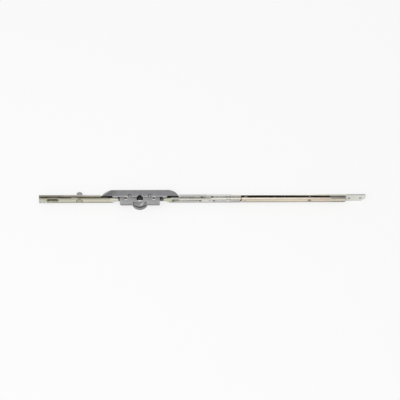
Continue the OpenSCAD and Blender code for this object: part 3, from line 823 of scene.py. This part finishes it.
@dataclass(frozen=True)
class StudioFloor(Finish):
    """Pale floor that the camera sees nearly white, with a faint shadow."""

    tone: Colour
    shown: Colour
    share: float

    def paint(self, graph: Graph) -> None:
        """Fills the material's graph."""
        lit = graph.node("ShaderNodeBsdfDiffuse", inputs={"Color": self.tone}).out()
        glow = graph.node("ShaderNodeEmission", inputs={"Color": self.shown, "Strength": 1.0}).out()
        inputs = {0: graph.seen() * self.share, 1: lit, 2: glow}
        both = graph.node("ShaderNodeMixShader", inputs=inputs).out()
        graph.node("ShaderNodeOutputMaterial", inputs={"Surface": both})


class TurnedTree:
    """Geometry Nodes tree that turns a profile round an axis and repeats it in a row."""

    SOCKETS = {
        "NodeSocketGeometry": ("Profile",),
        "NodeSocketInt": ("Steps", "Rings", "Count"),
        "NodeSocketVector": ("First", "Pitch", "Side", "Up", "Axis"),
        "NodeSocketMaterial": ("Material",),
    }
    SEAM = 0.001

    def __init__(self) -> None:
        """Builds the tree."""
        self.tree = bpy.data.node_groups.new("turned_row", "GeometryNodeTree")
        self.keys: dict[str, str] = {}
        graph = Graph(self.tree)
        for kind, names in self.SOCKETS.items():
            for name in names:
                made = self.tree.interface.new_socket(name, in_out="INPUT", socket_type=kind)
                self.keys[name] = made.identifier
        self.tree.interface.new_socket("Row", in_out="OUTPUT", socket_type="NodeSocketGeometry")
        given = graph.node("NodeGroupInput")
        inputs = {"Points": self.row(graph, given), "Instance": self.shape(graph, given)}
        copies = graph.node("GeometryNodeInstanceOnPoints", inputs=inputs)
        plain = graph.node("GeometryNodeRealizeInstances", inputs={"Geometry": copies.out()})
        inputs = {"Geometry": plain.out(), "Material": given.out("Material")}
        dressed = graph.node("GeometryNodeSetMaterial", inputs=inputs)
        graph.node("NodeGroupOutput", inputs={"Row": dressed.out()})

    @staticmethod
    def row(graph: Graph, given: Made) -> Sock:
        """Gives the places of the row, from the first one on."""
        names = {"Count": "Count", "Start Location": "First", "Offset": "Pitch"}
        inputs = {key: given.out(name) for key, name in names.items()}
        return graph.node("GeometryNodeMeshLine", {"mode": "OFFSET"}, inputs).out()

    def shape(self, graph: Graph, given: Made) -> Sock:
        """Bends a grid round the axis, with each of its rows at a point of the profile.

        Args:
            graph: the tree's graph.
            given: the tree's inputs.

        Returns:
            The turned mesh.
        """
        rings = given.out("Rings")
        inputs = {"Size X": 1.0, "Size Y": 1.0, "Vertices X": given.out("Steps"), "Vertices Y": rings}
        grid = graph.node("GeometryNodeMeshGrid", inputs=inputs)
        place = graph.node("GeometryNodeInputPosition").out()
        split = graph.node("ShaderNodeSeparateXYZ", inputs={0: place})
        angle = (split.out(0) + 0.5) * math.tau
        ring = (split.out(1) + 0.5) * (rings - 1.0)
        inputs = {"Geometry": given.out("Profile"), "Value": place, "Index": ring.maths("ROUND", ring)}
        picked = graph.node("GeometryNodeSampleIndex", {"data_type": "FLOAT_VECTOR"}, inputs)
        spot = graph.node("ShaderNodeSeparateXYZ", inputs={0: picked.out()})
        radius, height = spot.out(0), spot.out(1)
        shares = {
            "Side": radius * angle.maths("COSINE", angle),
            "Up": radius * angle.maths("SINE", angle),
            "Axis": height,
        }
        bent: object = (0.0, 0.0, 0.0)
        for name, share in shares.items():
            inputs = {0: given.out(name), "Scale": share}
            part = graph.node("ShaderNodeVectorMath", {"operation": "SCALE"}, inputs).out()
            bent = graph.node("ShaderNodeVectorMath", {"operation": "ADD"}, {0: bent, 1: part}).out()
        shaped = graph.node("GeometryNodeSetPosition", inputs={"Geometry": grid.out(), "Position": bent})
        inputs = {"Geometry": shaped.out(), "Distance": self.SEAM * MM}
        return graph.node("GeometryNodeMergeByDistance", inputs=inputs).out()


@dataclass(frozen=True)
class Corner:
    """Corner of a turned profile, in millimetres."""

    radius: float
    height: float
    round: float = 0.0


def eased(corners: Sequence[Corner], steps: int = 3) -> list[Span]:
    """Rounds the corners of a turned profile.

    Args:
        corners: the profile from pole to pole.
        steps: faces of a rounded corner.

    Returns:
        Radius and height of each point, in millimetres.
    """
    points: list[Span] = []
    spots = [Vector((corner.radius, corner.height)) for corner in corners]
    for index, corner in enumerate(corners):
        if corner.round <= 0:
            points.append(tuple(spots[index]))
            continue
        before = spots[index] + (spots[index - 1] - spots[index]).normalized() * corner.round
        after = spots[index] + (spots[index + 1] - spots[index]).normalized() * corner.round
        for step in range(steps + 1):
            share = step / steps
            bend = before * (1 - share) ** 2 + spots[index] * (2 * share * (1 - share)) + after * share**2
            points.append(tuple(bend))
    return points


def placed(name: str, data: bpy.types.ID) -> bpy.types.Object:
    """Puts a mesh, a lamp or a camera into the scene as a new object.

    Args:
        name: the object's name.
        data: what it shows.

    Returns:
        The object.
    """
    made = bpy.data.objects.new(name, data)
    bpy.context.scene.collection.objects.link(made)
    return made


@dataclass(frozen=True)
class Piece:
    """A dressed piece: the solid that it stands for, its own name, its body, its slot and its finish."""

    node: str
    name: str
    body: Body
    slot: Slot
    finish: Finish


@dataclass
class Bench:
    """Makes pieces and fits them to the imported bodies."""

    tree: TurnedTree = field(default_factory=TurnedTree)
    smooth_angle: float = 38.0
    merge: float = 0.001
    flat_angle: float = 0.4

    @staticmethod
    def fit(made: bpy.types.Object, piece: Piece) -> None:
        """Sets a finished object on its body in place of its solid.

        Args:
            made: the object.
            piece: what it stands for and wears.
        """
        made.data.materials.clear()
        made.data.materials.append(piece.finish.material())
        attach(made, piece.body.value)
        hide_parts(piece.node)
        faces = len(made.data.polygons)
        LOG.info("%s on %s, %d faces, for %s", made.name, piece.body.value, faces, piece.node)

    @contextmanager
    def edited(self, mesh: bpy.types.Mesh) -> Iterator[bmesh.types.BMesh]:
        """Opens a mesh with its doubled points merged, and smooths it when it is closed again.

        Args:
            mesh: the mesh.

        Yields:
            The mesh as it can be edited.
        """
        shape = bmesh.new()
        shape.from_mesh(mesh)
        bmesh.ops.remove_doubles(shape, verts=shape.verts, dist=self.merge * MM)
        yield shape
        shape.to_mesh(mesh)
        shape.free()
        mesh.shade_smooth()

    @staticmethod
    def plain(made: bpy.types.Object) -> None:
        """Turns an object with modifiers into a plain mesh.

        Args:
            made: the object, which loses its modifiers.
        """
        graph = bpy.context.evaluated_depsgraph_get()
        mesh = bpy.data.meshes.new_from_object(made.evaluated_get(graph), depsgraph=graph)
        old = made.data
        made.modifiers.clear()
        made.data = mesh
        bpy.data.meshes.remove(old)
        mesh.name = made.name

    def soften(self, piece: Piece, width: float, segments: int = 2) -> None:
        """Copies a solid, rounds its edges and fits the copy in its place.

        Args:
            piece: what is copied, and how it is named and dressed.
            width: width of a rounded edge, in millimetres.
            segments: faces across a rounded edge.
        """
        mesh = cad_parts[piece.node].data.copy()
        flat = math.radians(self.flat_angle)
        with self.edited(mesh) as shape:
            bmesh.ops.dissolve_limit(shape, angle_limit=flat, verts=shape.verts, edges=shape.edges)
        made = placed(piece.name, mesh)
        bevel = made.modifiers.new("edges", "BEVEL")
        bevel.width = width * MM
        bevel.segments = segments
        bevel.limit_method = "ANGLE"
        bevel.angle_limit = math.radians(self.smooth_angle)
        bevel.harden_normals = True
        bevel.use_clamp_overlap = True
        self.plain(made)
        self.keep_inside(made.data, piece.node)
        self.fit(made, piece)

    @staticmethod
    def keep_inside(mesh: bpy.types.Mesh, node: str) -> None:
        """Pulls points that stick out of a solid's box back onto it.

        Args:
            mesh: the mesh.
            node: the solid.
        """
        low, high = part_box(node)
        for point in mesh.vertices:
            point.co = [min(max(value, low[i]), high[i]) for i, value in enumerate(point.co)]

    def turn(
        self,
        piece: Piece,
        corners: Sequence[Corner],
        along: Along,
        first: Point,
        pitch: float = 0.0,
        count: int = 1,
        steps: int = 32,
    ) -> None:
        """Turns a profile round an axis, as often as the row needs, and fits the row as one piece.

        Args:
            piece: what the row stands for, and how it is named and dressed.
            corners: the profile from pole to pole.
            along: the axis.
            first: place of the first one, in millimetres.
            pitch: step to the next one along X, in millimetres.
            count: how many there are.
            steps: faces round the axis.
        """
        points = [(radius * MM, height * MM, 0.0) for radius, height in eased(corners)]
        mesh = bpy.data.meshes.new(piece.name)
        mesh.from_pydata(points, [(i, i + 1) for i in range(len(points) - 1)], [])
        made = placed(piece.name, mesh)
        modifier = made.modifiers.new("turned", "NODES")
        modifier.node_group = self.tree.tree
        side, up, axis = along.value
        values = {
            "Steps": steps + 1,
            "Rings": len(points),
            "Count": count,
            "First": [value * MM for value in first],
            "Pitch": (pitch * MM, 0.0, 0.0),
            "Side": side,
            "Up": up,
            "Axis": axis,
            "Material": piece.finish.material(),
        }
        for key, value in values.items():
            modifier[self.tree.keys[key]] = value
        self.plain(made)
        with self.edited(made.data) as shape:
            bmesh.ops.recalc_face_normals(shape, faces=shape.faces)
        made.data.set_sharp_from_angle(angle=math.radians(self.smooth_angle))
        self.fit(made, piece)


ZINC = CaseZinc("case zinc", (0.335, 0.335, 0.335), (0.45, 0.45, 0.44), dirt_and_shade=0.3, wear_and_highlight=0.2)
RACK = CastZinc("rack zinc", (0.33, 0.33, 0.33), (0.6, 0.6, 0.59), dirt_and_shade=0.6)
COVER = CoverZinc(
    "cover zinc", (0.235, 0.235, 0.243), (0.40, 0.40, 0.42), rough=0.42, mottle=0.5, sheen=0.2
)
BLOCK = CastZinc("block zinc", (0.255, 0.23, 0.205), (0.42, 0.39, 0.35), wear_and_highlight=0.25)
# The strips' zone tones hold painted light and painted shade on the inner faces and near edges.
LEFT_STRIP = Strip(
    "left strip plating",
    (0.55, 0.55, 0.53),
    (
        Zone(-160.0, (0.17, 0.15, 0.105), (0.28, 0.275, 0.26)),
        Zone(-119.0, (0.24, 0.21, 0.145), (0.38, 0.375, 0.355), soft=6.0),
        Zone(-84.0, (0.29, 0.265, 0.19), (0.57, 0.56, 0.54), soft=14.0),
    ),
)
STUB_STRIP = Strip(
    "short strip plating",
    (0.60, 0.60, 0.58),
    (
        Zone(45.0, (0.85, 0.84, 0.80), (0.38, 0.375, 0.36)),
        Zone(102.5, (0.74, 0.73, 0.70), (0.61, 0.605, 0.59)),
        Zone(140.0, (0.58, 0.565, 0.53), (0.50, 0.49, 0.465), soft=6.0),
    ),
    # Painted shade in two holes, and painted shade beside the coupler screw.
    spots=(
        Spot(95.6, 95.6, 0.5, 1.9, (0.04, 0.04, 0.036)),
        Spot(111.2, 111.2, 0.5, 1.9, (0.04, 0.04, 0.036)),
        Spot(132.3, 134.1, 1.4, 0.8, (0.28, 0.275, 0.26)),
        Spot(137.0, 138.9, 1.4, 0.8, (0.28, 0.275, 0.26)),
    ),
)
# Near-black painted shade for the long strip's inner face above the rod; the next zone's face is nearly as
# dark.
GAP_SHADE = (0.010, 0.007, 0.004)
RIGHT_STRIP = Strip(
    "long strip plating",
    (0.64, 0.64, 0.61),
    (
        Zone(141.0, GAP_SHADE, (0.93, 0.92, 0.89), reach=2.95),
        Zone(205.0, GAP_SHADE, (0.93, 0.92, 0.89), soft=20.0, reach=2.75),
        Zone(238.0, GAP_SHADE, (0.90, 0.88, 0.78), soft=20.0),
        Zone(274.0, (0.025, 0.02, 0.015), (0.72, 0.70, 0.585), soft=10.0, reach=2.25),
        Zone(292.0, (0.30, 0.285, 0.255), (0.62, 0.635, 0.555), soft=2.0, reach=2.05),
        Zone(317.0, (0.70, 0.71, 0.65), (0.47, 0.475, 0.445), soft=0.6, reach=2.05),
    ),
    # A painted light patch by the rod tip at the case, and a lighter patch by the guide rivet.
    spots=(
        Spot(162.0, 164.6, -0.4, 1.6, (0.75, 0.66, 0.58)),
        Spot(260.4, 262.4, 0.3, 1.3, (0.48, 0.47, 0.45)),
    ),
)
ADJUSTER = Strip(
    "adjuster plating",
    (0.80, 0.79, 0.76),
    (Zone(0.0, (0.58, 0.57, 0.545), (0.40, 0.395, 0.38)),),
    # Painted shade in a hole.
    spots=(Spot(95.6, 95.6, 0.9, 1.9, (0.04, 0.04, 0.036)),),
)
# The rods' zone tones hold painted light and shade on the near edges and darken the low edges.
LEFT_ROD = RodSteel(
    "left rod chromate",
    (
        Zone(-160.0, (0.51, 0.51, 0.405), (0.41, 0.40, 0.315), (0.21, 0.205, 0.165)),
        Zone(-100.0, (0.565, 0.54, 0.435), (0.40, 0.39, 0.315), (0.175, 0.16, 0.14), soft=12.0),
        Zone(-45.0, (0.615, 0.59, 0.51), (0.64, 0.62, 0.55), (0.25, 0.235, 0.21), soft=2.0),
    ),
    upper_shading=-0.1,
    upper_shading_z=(-3.9, -2.9),
    low_z=(-7.4, -9.2),
    # Darker round the slot, and a painted shadow ring round the cam pin's head.
    spots=(
        Spot(-140.5, -127.5, -2.4, 2.8, (0.075, 0.074, 0.048)),
        Spot(-92.9, -92.9, -5.0, 5.3, (0.20, 0.19, 0.15), 4.0),
    ),
)
RIGHT_ROD = RodSteel(
    "right rod chromate",
    (
        Zone(156.0, (0.68, 0.61, 0.48), (0.92, 0.81, 0.70), (0.40, 0.36, 0.285)),
        Zone(205.0, (0.74, 0.66, 0.53), (0.89, 0.78, 0.64), (0.40, 0.36, 0.29), soft=20.0),
        Zone(270.0, (0.69, 0.58, 0.48), (0.76, 0.65, 0.52), (0.34, 0.29, 0.25), soft=20.0),
        Zone(294.0, (0.66, 0.61, 0.49), (0.50, 0.455, 0.37), (0.22, 0.20, 0.16)),
    ),
    upper_shading=0.2,
)
SILVER_ROD = RodSteel(
    "silver rod plating",
    (
        Zone(30.0, (0.54, 0.545, 0.41), (0.50, 0.50, 0.44), (0.27, 0.27, 0.23)),
        Zone(60.0, (0.69, 0.68, 0.62), (0.46, 0.45, 0.41), (0.22, 0.215, 0.20), soft=4.0),
        Zone(110.0, (0.565, 0.555, 0.53), (0.88, 0.865, 0.78), (0.20, 0.195, 0.19)),
        Zone(140.0, (0.495, 0.47, 0.435), (0.88, 0.86, 0.75), (0.20, 0.19, 0.185), soft=4.0),
    ),
    low_z=(-7.6, -9.2),
    # A darker patch at the slot's start, painted shade in the narrow slot and its eye, a dark spot, painted
    # shadows round the coupler screw's head, and a dark mark at the joint.
    spots=(
        Spot(51.5, 58.5, -2.6, 2.2, (0.25, 0.25, 0.215)),
        Spot(54.0, 92.0, -5.0, 1.1, (0.24, 0.24, 0.215)),
        Spot(92.4, 93.6, -5.0, 1.7, (0.012, 0.012, 0.010)),
        Spot(113.9, 113.9, -5.0, 1.5, (0.08, 0.08, 0.045)),
        Spot(134.3, 134.3, -1.5, 1.0, (0.10, 0.10, 0.09)),
        Spot(138.5, 138.5, -1.5, 1.0, (0.10, 0.10, 0.09)),
        Spot(132.6, 138.9, -9.6, 0.9, (0.08, 0.08, 0.08)),
        Spot(155.4, 156.6, -4.8, 1.8, (0.03, 0.025, 0.01)),
    ),
)
CASE_RIVET = TurnedSteel("case rivet steel", (0.34, 0.34, 0.335), (0.45, 0.45, 0.44), dirt_and_shade=0.8)
RIVET = TurnedSteel("rivet steel", (0.46, 0.45, 0.41), (0.62, 0.61, 0.57), dirt_and_shade=0.8)
CAM_HEAD = TurnedSteel("cam pin steel", (0.40, 0.385, 0.30), (0.50, 0.48, 0.39), dirt_and_shade=0.8)
# Dark foot rivets; the left one takes a painted highlight.
FOOT_RIVET = TurnedSteel(
    "foot rivet steel", (0.19, 0.185, 0.115), (0.26, 0.255, 0.17), dirt_and_shade=0.8, left_highlight_tone=(0.66, 0.64, 0.54)
)
GUIDE_RIVET = TurnedSteel("guide rivet steel", (0.27, 0.24, 0.18), (0.38, 0.345, 0.275), dirt_and_shade=0.8)
BLOCK_RIVET = TurnedSteel("block rivet steel", (0.62, 0.57, 0.46), (0.66, 0.61, 0.50), dirt_and_shade=0.3)
COUPLER_SCREW = TurnedSteel("screw steel", (0.78, 0.77, 0.74), (0.85, 0.84, 0.82), dirt_and_shade=0.9)
BLACK = TurnedSteel(
    "black steel",
    (0.022, 0.022, 0.023),
    (0.06, 0.06, 0.06),
    metal=0.3,
    rough=0.5,
    marks=Grain((0.5, 0.5, 0.5), rough=0.2),
)
CAM = TurnedSteel("cam steel", (0.33, 0.325, 0.32), (0.55, 0.55, 0.54), rough=0.36)
FLOOR = StudioFloor("studio floor", (0.92, 0.92, 0.92), (0.965, 0.965, 0.965), 0.78)


# Ends of rivets in shares of their radius and rise, with roundings in millimetres.
HEAD = (
    Corner(0.0, 0.9),
    Corner(0.3, 0.92, 0.1),
    Corner(0.42, 1.0, 0.12),
    Corner(0.86, 0.72, 0.2),
    Corner(1.0, 0.3, 0.15),
    Corner(1.0, 0.0),
)
DIMPLE = (Corner(0.0, 1.0), Corner(0.4, 0.8, 0.1), Corner(0.68, 0.0, 0.1), Corner(1.0, 0.0, 0.12))
RIM_ROUND = 0.12


def shaped(shape: Sequence[Corner], radius: float, rise: float, base: float) -> list[Corner]:
    """Scales the end of a rivet and stands it on a face, from its pole to its rim."""
    return [Corner(radius * corner.radius, base + rise * corner.height, corner.round) for corner in shape]


def plain_end(shank: float, end: float) -> list[Corner]:
    """Profile of a shank's plain end, from its rim to its pole."""
    return [Corner(shank / 2, end, RIM_ROUND), Corner(0.0, end)]


def headed(head: float, height: float, seat: float, shank: float, end: float) -> list[Corner]:
    """Profile of a rivet with a head on its seat and a plain end, by its diameters and places."""
    rise = -height if end > seat else height
    return shaped(HEAD, head / 2, rise, seat) + [Corner(shank / 2, seat)] + plain_end(shank, end)


def flush(shank: float, start: float, end: float, dimple: float = 0.12) -> list[Corner]:
    """Profile of a flush rivet with a small dimple in its seen end, where it starts."""
    inward = dimple if end > start else -dimple
    return shaped(DIMPLE, shank / 2, inward, start) + plain_end(shank, end)


@dataclass
class GearCase:
    """The two case halves and the rivets that hold them to the cover."""

    edge: float = 0.35
    rivet_x: float = 15.3
    rivet_y: float = 4.0
    rivet_d: float = 2.0
    head_d: float = 3.8
    head_h: float = 0.6
    front_seat: float = 0.5
    back_seat: float = -10.5

    def build(self, bench: Bench) -> None:
        """Makes and fits the pieces."""
        for node, name in (("front_case", "case_front"), ("rear_case", "case_rear")):
            bench.soften(Piece(node, name, Body.ROOT, Slot.ZINC, ZINC), self.edge)
        head, shank = self.head_d / 2, self.rivet_d / 2
        corners = shaped(HEAD, head, self.head_h, self.front_seat)
        corners += [Corner(shank, self.front_seat), Corner(shank, self.back_seat)]
        corners += shaped(HEAD, head, -self.head_h, self.back_seat)[::-1]
        first = (-self.rivet_x, self.rivet_y, 0.0)
        rivets = Piece("case_rivets", "case_rivet_pair", Body.ROOT, Slot.RIVET, CASE_RIVET)
        bench.turn(rivets, corners, Along.Z, first, 2 * self.rivet_x, 2)


@dataclass
class RackCover:
    """The trapezoid cover and the screws of the strips under it."""

    edge: float = 0.45
    screw_edge: float = 0.12

    def build(self, bench: Bench) -> None:
        """Makes and fits the pieces."""
        cover = Piece("rack_cover", "cover_shell", Body.ROOT, Slot.COVER, COVER)
        screws = Piece("faceplate_screws", "strip_screws", Body.ROOT, Slot.RIVET, RIVET)
        bench.soften(cover, self.edge)
        bench.soften(screws, self.screw_edge)


@dataclass
class Faceplates:
    """The strips to both sides, the adjuster on the short one and the lap rivets."""

    edge: float = 0.25
    thin_edge: float = 0.08
    lap_x: float = 144.75
    lap_pitch: float = 7.0
    lap_d: float = 3.0
    inner: float = 2.0
    outer: float = 4.5
    middle: float = -5.0

    def build(self, bench: Bench) -> None:
        """Makes and fits the pieces."""
        for node, name, finish, width in (
            ("left_faceplate", "strip_left", LEFT_STRIP, self.edge),
            ("right_stub_faceplate", "strip_short", STUB_STRIP, self.edge),
            ("right_faceplate", "strip_long", RIGHT_STRIP, self.edge),
            ("serrated_plate", "adjuster_plate", ADJUSTER, self.thin_edge),
        ):
            bench.soften(Piece(node, name, Body.ROOT, Slot.STRIP, finish), width)
        corners = flush(self.lap_d, self.outer, self.inner)
        first = (self.lap_x, 0.0, self.middle)
        rivets = Piece("lap_rivets", "lap_rivet_pair", Body.ROOT, Slot.RIVET, RIVET)
        bench.turn(rivets, corners, Along.Y, first, self.lap_pitch, 2)


@dataclass
class Hub:
    """The pinion with the square spindle hole."""

    edge: float = 0.12

    def build(self, bench: Bench) -> None:
        """Makes and fits the piece."""
        bench.soften(Piece("hub_pinion", "hub", Body.HUB, Slot.BLACK, BLACK), self.edge)


@dataclass
class OnRod:
    """Faces and middle line of the rods, and the height of the heads on them."""

    inner: float = -1.9
    outer: float = 0.5
    middle: float = -5.0
    head_h: float = 0.7


@dataclass
class DriveRods(OnRod):
    """The rack, the rods and everything that is riveted to them."""

    edge: float = 0.3
    thin_edge: float = 0.15
    rivet_d: float = 3.0
    head_d: float = 5.0
    foot_t: float = 1.2
    foot_x: Span = (-40.7, 51.303)
    shoe_x: float = -147.25
    shoe_z: float = -6.9
    shoe_t: float = 0.8
    coupler_x: Span = (107.2, 161.3)
    coupler_t: float = 0.8
    guide_x: float = 260.7
    guide_d: float = 4.4
    guide_head_d: float = 5.6
    guide_end: float = 4.2
    block_x: Span = (300.0, 311.0)
    block_t: float = 1.2

    def build(self, bench: Bench) -> None:
        """Makes and fits the pieces."""
        self.rods(bench)
        self.rivets(bench)

    def rods(self, bench: Bench) -> None:
        """Makes the flat pieces."""
        for node, name, slot, finish, width in (
            ("rack_slider", "rack", Slot.ZINC, RACK, self.thin_edge),
            ("left_drive_rod", "rod_left", Slot.CHROMATE, LEFT_ROD, self.edge),
            ("left_end_shoe", "rod_shoe", Slot.STRIP, ADJUSTER, self.thin_edge),
            ("right_gear_rod", "rod_gear", Slot.SILVER, SILVER_ROD, self.edge),
            ("rod_coupler", "coupler_strap", Slot.SILVER, SILVER_ROD, self.thin_edge),
            ("coupler_screw", "coupler_screw_slotted", Slot.RIVET, COUPLER_SCREW, self.thin_edge),
            ("right_drive_rod", "rod_right", Slot.CHROMATE, RIGHT_ROD, self.edge),
            ("end_block", "rod_end_block", Slot.COVER, BLOCK, self.thin_edge),
        ):
            bench.soften(Piece(node, name, Body.SLIDER, slot, finish), width)

    def rivets(self, bench: Bench) -> None:
        """Makes the rivets."""
        foot = headed(self.head_d, self.head_h, self.inner, self.rivet_d, self.outer + self.foot_t)
        guide = headed(self.guide_head_d, self.head_h, self.inner, self.guide_d, self.guide_end)
        shoe = flush(self.rivet_d, self.inner - self.shoe_t, self.outer)
        coupler = flush(self.rivet_d, self.inner, self.outer + self.coupler_t)
        block = flush(self.rivet_d, self.inner, self.outer + self.block_t)
        for node, name, corners, places, z, finish in (
            ("foot_rivets", "foot_rivet_pair", foot, self.foot_x, self.middle, FOOT_RIVET),
            ("shoe_rivet", "shoe_rivet_flush", shoe, (self.shoe_x,), self.shoe_z, RIVET),
            ("coupler_rivets", "coupler_rivet_pair", coupler, self.coupler_x, self.middle, RIVET),
            ("guide_rivet", "guide_rivet_headed", guide, (self.guide_x,), self.middle, GUIDE_RIVET),
            ("end_block_rivets", "block_rivet_pair", block, self.block_x, self.middle, BLOCK_RIVET),
        ):
            rivets = Piece(node, name, Body.SLIDER, Slot.RIVET, finish)
            first, pitch = (places[0], 0.0, z), places[-1] - places[0]
            bench.turn(rivets, corners, Along.Y, first, pitch, len(places))


@dataclass
class LockingCam(OnRod):
    """The cam pin in the left rod and the roller that turns on it."""

    x: float = -92.9
    head_d: float = 8.4
    pin_d: float = 5.0
    shoulder_d: float = 6.0
    shoulder_end: float = 4.8
    cap_d: float = 7.6
    cap_start: float = 12.0
    cap_h: float = 1.1
    shoulder_round: Span = (0.15, 0.2)
    pin_steps: int = 48
    roller_edge: float = 0.5
    roller_segments: int = 3

    def build(self, bench: Bench) -> None:
        """Makes and fits the pieces."""
        place = (self.x, 0.0, self.middle)
        pin, shoulder = self.pin_d / 2, self.shoulder_d / 2
        foot_round, top_round = self.shoulder_round
        corners = shaped(HEAD, self.head_d / 2, -self.head_h, self.inner)
        corners += [
            Corner(pin, self.inner),
            Corner(pin, self.outer),
            Corner(shoulder, self.outer, foot_round),
            Corner(shoulder, self.shoulder_end, top_round),
            Corner(pin, self.shoulder_end),
            Corner(pin, self.cap_start),
        ]
        corners += shaped(HEAD, self.cap_d / 2, self.cap_h, self.cap_start)[::-1]
        turned = Piece("cam_pin", "cam_pin_turned", Body.SLIDER, Slot.RIVET, CAM_HEAD)
        bench.turn(turned, corners, Along.Y, place, steps=self.pin_steps)
        roller = Piece("cam_roller", "cam_roller_turned", Body.ROLLER, Slot.CAM, CAM)
        bench.soften(roller, self.roller_edge, self.roller_segments)


@dataclass
class Studio:
    """Floor, light and camera."""

    floor_z: float = -13.02
    floor_half: float = 6.0
    view_width: float = 614.4
    distance: float = 4000.0
    sensor: float = 36.0
    clip: Span = (0.1, 50.0)
    elevation: float = 59.0
    roll: float = 0.2
    target: Point = (92.5, -2.6, -1.4)
    world_level: float = 0.72
    world_shown: float = 0.965
    lamp_power: float = 14.0
    lamp_size: float = 1.4
    lamp_place: Point = (-500.0, -800.0, 1500.0)

    def build(self) -> None:
        """Makes the floor, the light and the camera."""
        self.floor()
        self.world()
        self.lamp()
        self.camera()

    def floor(self) -> None:
        """Makes the floor."""
        half, z = self.floor_half, self.floor_z * MM
        mesh = bpy.data.meshes.new("floor")
        corners = [(-half, -half, z), (half, -half, z), (half, half, z), (-half, half, z)]
        mesh.from_pydata(corners, [], [(0, 1, 2, 3)])
        mesh.materials.append(FLOOR.material())
        floor = placed("floor", mesh)

    def world(self) -> None:
        """Makes the soft light from all round."""
        world = bpy.data.worlds.new("studio")
        bpy.context.scene.world = world
        world.use_nodes = True
        graph = Graph(world.node_tree)
        level = self.world_level + graph.seen() * (self.world_shown - self.world_level)
        inputs = {"Color": (1.0, 1.0, 1.0), "Strength": level}
        shown = graph.node("ShaderNodeBackground", inputs=inputs).out()
        graph.node("ShaderNodeOutputWorld", inputs={"Surface": shown})

    def lamp(self) -> None:
        """Makes one large soft lamp."""
        lamp = bpy.data.lights.new("soft_lamp", "AREA")
        lamp.shape = "SQUARE"
        lamp.size = self.lamp_size
        lamp.energy = self.lamp_power
        stand = placed("soft_lamp", lamp)
        stand.location = Vector(self.lamp_place) * MM
        aim = Vector(self.target) * MM - stand.location
        stand.rotation_euler = aim.to_track_quat("-Z", "Y").to_euler()

    def camera(self) -> None:
        """Makes the camera at the photograph's angle."""
        data = bpy.data.cameras.new("camera")
        data.sensor_width = self.sensor
        data.lens = self.sensor * self.distance / self.view_width
        data.clip_start, data.clip_end = self.clip
        camera = placed("camera", data)
        rise, roll = math.radians(self.elevation), math.radians(self.roll)
        back = Vector((0.0, -math.cos(rise), math.sin(rise)))
        up = Vector((0.0, math.sin(rise), math.cos(rise)))
        right = Vector((1.0, 0.0, 0.0))
        right, up = right * math.cos(roll) - up * math.sin(roll), right * math.sin(roll) + up * math.cos(roll)
        turn = Matrix((right, up, back)).transposed().to_4x4()
        spot = (Vector(self.target) + back * self.distance) * MM
        camera.matrix_world = Matrix.Translation(spot) @ turn
        bpy.context.scene.camera = camera


def main() -> None:
    """Builds the gear in order."""
    logging.basicConfig(level=logging.INFO, format="%(name)s: %(message)s")
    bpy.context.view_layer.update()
    bpy.context.scene.view_settings.view_transform = "Standard"
    bench = Bench()
    for part in (GearCase(), RackCover(), Faceplates(), Hub(), DriveRods(), LockingCam()):
        part.build(bench)
    Studio().build()


if __name__ == "__main__":
    main()
